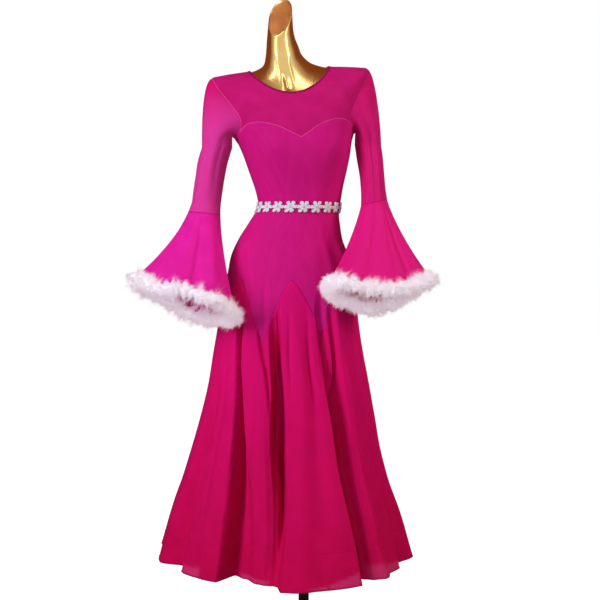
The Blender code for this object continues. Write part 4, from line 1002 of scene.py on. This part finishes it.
def armhole_loop(places):
    """(ring, angle) round an armhole for places 0 to 17: shoulder, front, armpit, back."""
    rings = [row[0] for row in ARMHOLE[2:]]
    ring = np.interp(places, [*range(7), *range(11, 18)], rings[::-1] + rings)
    under = np.interp(places, (6, 7, 8, 9, 10, 11), (66.0, 74.0, 82.0, 90.0, 80.0, 70.0))
    front, back = places < 9, places >= 9
    low = (places > 6) & (places < 11)
    ring = np.where(low & front, bodice_top_at(under, FRONT), ring)
    ring = np.where(low & back, bodice_top_at(under, BACK), ring)
    from_front = np.where(low, under, armhole_at(ring, FRONT))
    from_back = np.where(low, under, armhole_at(ring, BACK))
    return ring, np.where(front, from_front, 180.0 - from_back)


def arm_ring(side, row, turn):
    """Points of a sleeve ring; turn 0 is the outer side and a quarter turn the front."""
    z, x, y, half_width, half_depth = row
    out = half_width * np.cos(turn)
    roll = ELBOW_ROLL[side] * (ROLL_START_Z - z) / (ROLL_START_Z - ELBOW_Z)
    return np.stack([x + SIDES[side] * out, y - half_depth * np.sin(turn), z + roll * out], -1)


def sleeve_points(side, rows, columns):
    """Grid of a sleeve from the armhole down to the elbow, with its creases."""
    sign = SIDES[side]
    places = np.linspace(0.0, 17.0, columns)
    turn = 2 * math.pi * places / 17.0
    edge = dress_at(*(value * s for value, s in zip(armhole_loop(places), (1.0, sign))))
    outward = np.array([sign * math.cos(YAW), sign * math.sin(YAW), 0.0])
    top = ((1 + np.cos(turn)) / 2)[:, None]
    leave = (outward - np.array([0, 0, 0.20]) * top) * (0.020 + HEAD_FULLNESS[side] * top)
    first = arm_ring(side, SLEEVE_RINGS[side][0], turn)
    grid = []
    for t in np.linspace(0.0, 1.0, rows // 2, endpoint=False):
        grid.append(edge * (2 * t**3 - 3 * t**2 + 1) + leave * (t**3 - 2 * t**2 + t)
                    + first * (3 * t**2 - 2 * t**3) + HEAD_DROP * (t**3 - t**2))
    table = [(n, *row) for n, row in enumerate(SLEEVE_RINGS[side])]
    for n in np.linspace(0.0, 4.0, rows - rows // 2):
        grid.append(arm_ring(side, [smooth_at(table, n, column) for column in range(1, 6)], turn))
    grid = np.array(grid)
    outwards = unit(grid - grid.mean(1, keepdims=True))
    share = np.linspace(0.0, 1.0, rows)[:, None]
    rise = creases_at(SLEEVE_CREASES[side], share + np.zeros(columns), np.degrees(turn)[None, :])
    return grid + outwards * rise[..., None]


# %% [markdown]
# ## Bell cuffs
#
# Below the elbow each sleeve opens into a bell, cut as most of a circle and brighter than the
# net. It leaves the elbow seam narrow, flares to an edge that tips towards the front, and
# falls in shallow waves that deepen as they reach the fur.

# %% Shape of the bells
# Middle and half axes of a bell's edge in metres, its slopes across and forwards, its turn in
# degrees, how much it rises at both sides, and how late it flares. Waves scale the edge, and
# lifts raise it in metres, each at an angle from the outer side.
BELLS = {
    "left": {"x": -0.2840, "y": -0.148, "z": 0.836, "half_width": 0.122, "half_depth": 0.085,
             "roll": 0.26, "pitch": 0.34, "yaw": -12.0, "saddle": 0.008, "flare": 1.4,
             "waves": ((0, 0.02), (32, -0.05), (62, 0.05), (98, -0.04), (128, 0.05),
                       (168, -0.02), (205, 0.05), (240, -0.05), (280, 0.05), (322, -0.05)),
             "lifts": ((0, 0.010), (30, 0.017), (50, 0.009), (70, -0.002), (98, 0.017),
                       (126, 0.013), (152, 0.014), (178, 0.006), (214, -0.004), (246, -0.008),
                       (276, -0.003), (300, 0.006), (328, 0.011))},
    "right": {"x": 0.1796, "y": -0.150, "z": 0.848, "half_width": 0.126, "half_depth": 0.072,
              "roll": 0.02, "pitch": 0.36, "yaw": 10.0, "saddle": 0.040, "flare": 1.15,
              "waves": ((0, 0.02), (36, -0.04), (70, 0.05), (102, -0.05), (136, 0.04),
                        (172, -0.02), (210, 0.05), (248, -0.05), (286, 0.05), (326, -0.04)),
              "lifts": ((0, 0.003), (40, 0.000), (76, -0.002), (112, 0.003), (150, 0.004),
                        (186, 0.000), (220, -0.003), (262, -0.003), (306, 0.006))},
}
# written as the sleeves' creases are; a path past share 1 runs out through the edge
BELL_CREASES = {
    "left": ((-0.0085, 3.6, ((0.12, 92.0), (0.40, 101.0), (0.80, 108.0), (1.60, 112.0))),
             (0.0052, 8.0, ((0.10, 74.0), (0.50, 82.0), (1.60, 88.0))),
             (-0.0085, 4.0, ((0.12, 58.0), (0.34, 54.0), (0.80, 46.0), (1.30, 42.0))),
             (0.0052, 8.0, ((0.14, 34.0), (0.60, 26.0), (1.60, 20.0))),
             (-0.0055, 5.0, ((0.10, 8.0), (0.40, 2.0), (1.10, -4.0))),
             (0.0060, 11.0, ((0.10, 128.0), (0.50, 134.0), (1.60, 138.0))),
             (-0.0110, 8.0, ((0.08, 158.0), (0.60, 160.0), (1.60, 162.0))),
             (-0.0080, 9.0, ((0.06, 236.0), (0.60, 240.0), (1.60, 242.0))),
             (0.0060, 9.0, ((0.10, 272.0), (0.60, 278.0), (1.60, 280.0))),
             (-0.0060, 8.0, ((0.10, 306.0), (0.60, 312.0), (1.60, 314.0)))),
    "right": ((-0.0075, 4.0, ((0.02, 92.0), (0.40, 104.0), (0.80, 112.0), (1.60, 116.0))),
              (0.0056, 7.0, ((0.06, 70.0), (0.50, 82.0), (1.60, 88.0))),
              (-0.0070, 4.0, ((0.04, 52.0), (0.50, 56.0), (1.60, 60.0))),
              (0.0056, 7.0, ((0.08, 30.0), (0.50, 32.0), (1.60, 34.0))),
              (-0.0040, 5.0, ((0.06, 12.0), (0.50, 10.0), (1.60, 8.0))),
              (0.0040, 9.0, ((0.10, 124.0), (0.50, 134.0), (1.60, 140.0))),
              (-0.0060, 6.0, ((0.04, 144.0), (0.50, 154.0), (1.60, 160.0))),
              (-0.0080, 9.0, ((0.06, 244.0), (0.60, 248.0), (1.60, 248.0))),
              (0.0060, 9.0, ((0.10, 290.0), (0.60, 286.0), (1.60, 286.0)))),
}


def bell_at(side, share, turn):
    """Points of a bell: share 0 at the elbow, 1 at its edge; turn 0 is the outer side."""
    share, turn = np.broadcast_arrays(np.asarray(share, float), np.asarray(turn, float))
    sign, bell = SIDES[side], BELLS[side]
    z, x, y, half_width, half_depth = SLEEVE_RINGS[side][-1]
    flare = share**bell["flare"]
    degrees = np.degrees(turn)
    waves, lifts = (wave_at(*(column + 0.0 * degrees[..., None]
                              for column in np.array(bell[key], float).T), degrees)
                    for key in ("waves", "lifts"))
    swell = 1.0 + waves * share * share
    rise = creases_at(BELL_CREASES[side], share, degrees)
    out = (half_width + (bell["half_width"] - half_width) * flare) * np.cos(turn) * swell
    ahead = (half_depth + (bell["half_depth"] - half_depth) * flare) * np.sin(turn) * swell
    out, ahead = out + rise * np.cos(turn), ahead + rise * np.sin(turn)
    yaw = math.radians(bell["yaw"]) * share
    elbow = ELBOW_ROLL[side]
    lift = out * (elbow + (bell["roll"] - elbow) * share) + ahead * bell["pitch"] * share
    lift += bell["saddle"] * (share * np.cos(turn))**2 + lifts * share**3
    return np.stack([
        x + (bell["x"] - x) * share + sign * out * np.cos(yaw) + ahead * np.sin(yaw),
        y + (bell["y"] - y) * share**1.4 + sign * out * np.sin(yaw) - ahead * np.cos(yaw),
        z + (bell["z"] - z) * share + lift], -1)


# %% Sleeves and bells
ELBOW_SEAM = {"left": 0.115, "right": 0.0}     # share of the bell that is still net
# painted light: the left arm takes the net's paler tone and moiré fully, the less lit right arm
# only a little
ARM_PAINTED_LIGHT = {"left": 1.0, "right": 0.12}         # how much of the net's shimmer an arm shows


def face_out(grid, side):
    """The grid with its columns in the order that turns its faces outwards."""
    return grid[:, ::-1] if side == "left" else grid


for side in SIDES:
    points = sleeve_points(side, 90, 85)
    if ELBOW_SEAM[side]:
        cuff = np.linspace(0.012, ELBOW_SEAM[side] - 0.0005, 9)[:, None]
        points = np.concatenate([points, bell_at(side, cuff, np.linspace(0.0, 2 * math.pi, 85))])
    # further down the arm the net is sheer and painted paler, as light coming through it
    down_arm = np.clip((points[:1, :, 2].max() - 0.03 - points[..., 2]) / 0.10, 0.0, 1.0)
    sleeve = add_cloth(f"sleeve_{side}_net", face_out(points, side), sleeve_net,
                       closed=True, sheer_and_painted_light=face_out(down_arm**0.8 * ARM_PAINTED_LIGHT[side], side))
    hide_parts(f"sleeve_{side}")
    share = np.linspace(ELBOW_SEAM[side] + 0.0005, 0.97, 45)[:, None]
    points = face_out(bell_at(side, share, np.linspace(0.0, 2 * math.pi, 121)), side)
    # painted shade: the right bell's mask is 1, so its satin takes the darker tone
    bell = add_cloth(f"bell_{side}_satin", points, bell_satin, closed=True,
                     sheer_and_painted_light=np.full(points.shape[:2], float(side == "right")))
    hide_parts(f"bell_{side}")

# %% [markdown]
# ## Marabou
#
# Marabou is down from a bird's underwing, twisted on a cord: thousands of limp white barbs in
# soft tufts. A single shape can't look like it, so each trim has a lumpy core with tufts of
# barbs all round. A barb is a narrow blade of three triangles that bends on its way out and
# sinks a little at its tip. Their lengths follow the reach of the solid ring.

# %% Marabou trims
TUFTS, BARBS = 1300, 40      # on each trim, and in each tuft
FUR_REACH, ROOT = 0.022, 0.006
INNER_REACH = {"left": 0.85, "right": 0.95}    # how much longer it is towards the opening
rng = np.random.default_rng(41)


def trim_frame(side, turn):
    """Centre line of a trim, with its direction, the way down the bell, and across both."""
    centre = bell_at(side, 1.0, turn)
    along = unit(bell_at(side, 1.0, turn + 0.01) - bell_at(side, 1.0, turn - 0.01))
    down = centre - bell_at(side, 0.9, turn)
    down = unit(down - along * (down * along).sum(-1, keepdims=True))
    return centre, along, down, np.cross(along, down)


def add_core(side):
    """The twisted cord under the barbs, a lumpy tube."""
    turn = np.linspace(0.0, 2 * math.pi, 241)
    centre, along, down, across = trim_frame(side, turn)
    spin = np.linspace(0.0, 2 * math.pi, 17)[:, None]
    lumps = 0.0095 + 0.0016 * np.sin(turn * 37 + spin * 2) + 0.0012 * np.sin(turn * 61 - spin * 3)
    points = (centre + down * (np.cos(spin) * lumps)[..., None]
              + across * (np.sin(spin) * lumps)[..., None])
    return lay_points(f"marabou_cord_{side}", face_out(points, side).transpose(1, 0, 2),
                      feather, join=True)


def barb_points(side):
    """Five points of each barb: two at its root, two at its middle and its tip. Length varies
    by tuft and by barb, one tuft in five stands out further, and all are longer inwards."""
    count, tuft = TUFTS * BARBS, np.repeat(np.arange(TUFTS), BARBS)
    turn = rng.uniform(0.0, 2 * math.pi, TUFTS)[tuft] + rng.normal(0.0, 0.014, count)
    spin = rng.uniform(0.0, 2 * math.pi, TUFTS)[tuft] + rng.normal(0.0, 0.20, count)
    centre, along, down, across = trim_frame(side, turn)
    out = down * np.cos(spin)[:, None] + across * np.sin(spin)[:, None]
    inwards = unit(bell_at(side, 1.0, np.linspace(0.0, 6.2, 40)).mean(0) - centre)
    fill = INNER_REACH[side] * np.clip((out * inwards).sum(-1), 0.0, 1.0)[:, None]**0.7
    lean = rng.normal(0.0, 0.42, (TUFTS, 3))[tuft]
    loose = rng.normal(0.0, 0.16, (count, 3))
    aim, bend = unit(out + lean + loose), unit(out * 0.5 + lean * 2.2 + loose)
    reach = rng.uniform(0.62, 1.0, TUFTS) * np.where(rng.random(TUFTS) < 0.22, 1.35, 1.0)
    longest = FUR_REACH * reach[tuft] * rng.uniform(0.70, 1.05, count)
    length = longest[:, None] * (1.0 + fill) - ROOT
    root = centre + out * ROOT
    middle = root + aim * length * 0.55
    tip = middle + unit(aim + bend) * length * 0.5 - np.array([0.0, 0.0, 0.0018])
    far = np.linalg.norm(tip - centre, axis=1, keepdims=True)
    most = 1.25 * FUR_REACH * (1.0 + fill)
    tip = centre + (tip - centre) * np.minimum(1.0, most / far)
    side_way = unit(np.cross(aim, rng.normal(0.0, 1.0, (count, 3))))
    half = rng.uniform(0.00018, 0.00036, (count, 1))
    return np.stack([root - side_way * half, root + side_way * half,
                     middle + side_way * half * 0.8, middle - side_way * half * 0.8, tip], 1)


def add_barbs(side):
    """Tufts of curved blades round the cord, as one mesh."""
    points = barb_points(side)
    count = len(points)
    corners = np.arange(count)[:, None] * 5 + np.array([0, 1, 2, 0, 2, 3, 3, 2, 4])
    mesh = bpy.data.meshes.new(f"marabou_barbs_{side}")
    mesh.vertices.add(count * 5)
    mesh.vertices.foreach_set("co", points.reshape(-1))
    mesh.loops.add(count * 9)
    mesh.loops.foreach_set("vertex_index", corners.reshape(-1))
    mesh.polygons.add(count * 3)
    mesh.polygons.foreach_set("loop_start", np.arange(count * 3) * 3)
    mesh.update(calc_edges=True)
    mesh.materials.append(feather)
    piece = bpy.data.objects.new(mesh.name, mesh)
    bpy.context.scene.collection.objects.link(piece)
    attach(piece, "root")
    print(f"{piece.name}: {count} barbs, {len(mesh.polygons)} triangles")
    return piece


for side in SIDES:
    add_core(side)
    add_barbs(side)
    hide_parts(f"marabou_trim_{side}")

# %% [markdown]
# ## Flower belt
#
# Guipure is lace without a net: flowers are embroidered on a base that is then dissolved, so
# they hang together at their petals alone. One flower is modelled as a round grid whose edge
# follows six petals, with a vein down each and a raised heart. Its copies are bent round the
# waist, a petal of each on a petal of the next.

# %% Belt of flowers
FLOWERS, FLOWER_HEIGHT, BELT_GAP = 20, 0.029, 0.0016       # number, and sizes in metres
PETAL_MIDDLE, PETAL, NOTCH = 0.73, 0.28, 0.40              # shares of the flower's radius
RAYS, STEPS = 61, 9


def flower_points():
    """One flower: (along in flowers, up in metres, height in metres) on a round grid."""
    theta = np.linspace(0.0, 2 * math.pi, RAYS)[None, :]
    radius = np.linspace(0.0, 1.0, STEPS)[:, None]
    petal = np.abs(np.cos(3 * theta))
    aside = PETAL_MIDDLE * np.sin((theta + math.pi / 6) % (math.pi / 3) - math.pi / 6)
    lobe = np.sqrt(np.clip(PETAL**2 - aside**2, 0.0, None))
    edge = np.where(np.abs(aside) < PETAL - 0.01, np.sqrt(PETAL_MIDDLE**2 - aside**2) + lobe,
                    NOTCH)
    dome = np.sqrt(np.clip(1.0 - radius**3, 0.0, 1.0))
    vein = np.exp(-((1.0 - petal) / 0.05)) * np.clip(radius - 0.30, 0.0, 1.0)
    height = 0.0016 + 0.0012 * dome - 0.0012 * vein
    height = height - 0.0010 * np.exp(-((radius - 0.30) / 0.06)**2)
    height = height + 0.0016 * np.exp(-(radius / 0.20)**2)
    along = 0.5 * radius * edge * np.cos(theta)
    up = FLOWER_HEIGHT / 2 * radius * edge * np.sin(theta)
    return along, up, height + 0.0 * theta


def on_waist(along, up, height):
    """Point over the waist: along in flowers, up from the waist, height off the cloth."""
    angle = 360.0 * along / FLOWERS
    ring = WAIST_Z + up
    return (dress_at(ring, angle, detail=False)
            + normal_at(WAIST_Z + 0.0 * angle, angle, detail=False) * height[..., None])


for number in range(FLOWERS):
    along, up, height = flower_points()
    turned = 0.10 * math.sin(number * 2.4)
    up = up * (1.0 + 0.04 * math.sin(number * 1.7)) + along * turned * 0.01
    points = on_waist(along + number, up, height + BELT_GAP - 0.0006)
    flower = lay_points(f"belt_flower_{number + 1}", points, lace, join=True)
    flower.data.materials.append(heart)
    for face in flower.data.polygons:
        face.material_index = int(face.index // (RAYS - 1) < 2)
    thicken(flower, 0.0012)
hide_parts("flower_belt")

# %% [markdown]
# ## Seams and bindings
#
# Seams are what makes a garment read as sewn. The sweetheart seam and the armhole seams are
# fine raised lines, and the sweetheart and left armhole ones are painted paler as a highlight;
# the elbow seams pull in a little, and the neckline ends in a narrow folded binding that is
# painted dark as a line of shade.

# %% Seams
across = np.linspace(-65.9, 65.9, 181)
# the sweetheart seam is painted paler as a highlight
sweetheart = add_seam("sweetheart_seam", yoke_seam_at(across, FRONT), across, painted_highlight_thread,
                      0.0009, 0.0006)
back_seam = add_seam("back_yoke_seam", YOKE_RING, np.linspace(110.1, 249.9, 121), thread,
                     0.0008, 0.0005)
armholes, elbows = {}, {}
for side, sign in SIDES.items():
    ring, angle = armhole_loop(np.linspace(0.0, 17.0, 205))
    # the left armhole seam is painted paler as a highlight; the right one keeps the plain thread
    armholes[side] = add_seam(f"armhole_seam_{side}", ring, angle * sign,
                              painted_highlight_thread if side == "left" else thread, 0.0009, 0.0007)
    loop = bell_at(side, ELBOW_SEAM[side], np.linspace(0.0, 2 * math.pi, 121))
    elbows[side] = add_piping(f"elbow_seam_{side}", loop, unit(loop - loop[:-1].mean(0)),
                              elbow_thread, 0.0008, 0.0004)
# the neck binding is painted dark as a line of shade
neck = add_seam("neck_binding", NECK_RING + 0.0006, np.linspace(0.0, 360.0, 241), binding_painted_shade,
                0.0030, 0.0009)
print("seams:", 3 + len(armholes) + len(elbows))

# %% [markdown]
# ## The cut of the cloth
#
# Every sheet's cut is listed here and printed beside its area on the dress: the rectangle that
# the panel is cut from, and the panel's own flat area. Jersey and net are cut a few percent
# smaller than they end up, because they stretch over the form. Crepe doesn't stretch, so a godet
# is cut as wide as its flutes are when they are flattened. The seam threads, bindings and the
# flower belt are sewn on, and have no cut of their own here.

# %% Cuts of the sheets
# cut width and length in metres, flat area in square metres, how it is held
CUTS = {
    "bodice_front_satin": ((0.44, 0.53), 0.157, "stretched"),
    "bodice_back_satin": ((0.44, 0.52), 0.156, "stretched"),
    "yoke_front_net": ((0.37, 0.18), 0.045, "stretched"),
    "yoke_back_net": ((0.38, 0.22), 0.062, "stretched"),
    "godet_1_crepe": ((0.56, 0.72), 0.208, "hung"),
    "godet_2_crepe": ((0.49, 0.72), 0.180, "hung"),
    "godet_3_crepe": ((0.45, 0.72), 0.166, "hung"),
    "godet_4_crepe": ((0.50, 0.72), 0.183, "hung"),
    "godet_5_crepe": ((0.45, 0.72), 0.164, "hung"),
    "godet_6_crepe": ((0.60, 0.72), 0.222, "hung"),
    "hem_band_woven": ((2.46, 0.087), 0.208, "hung"),
    "sleeve_left_net": ((0.37, 0.37), 0.073, "hung"),
    "sleeve_right_net": ((0.37, 0.35), 0.068, "hung"),
    "bell_left_satin": ((0.68, 0.34), 0.106, "hung"),
    "bell_right_satin": ((0.68, 0.34), 0.106, "hung"),
}
for name, (cut, area, held) in CUTS.items():
    print(f"{name}: {made[name]:.4f} m2 on the dress, {area} m2 cut, {held}")
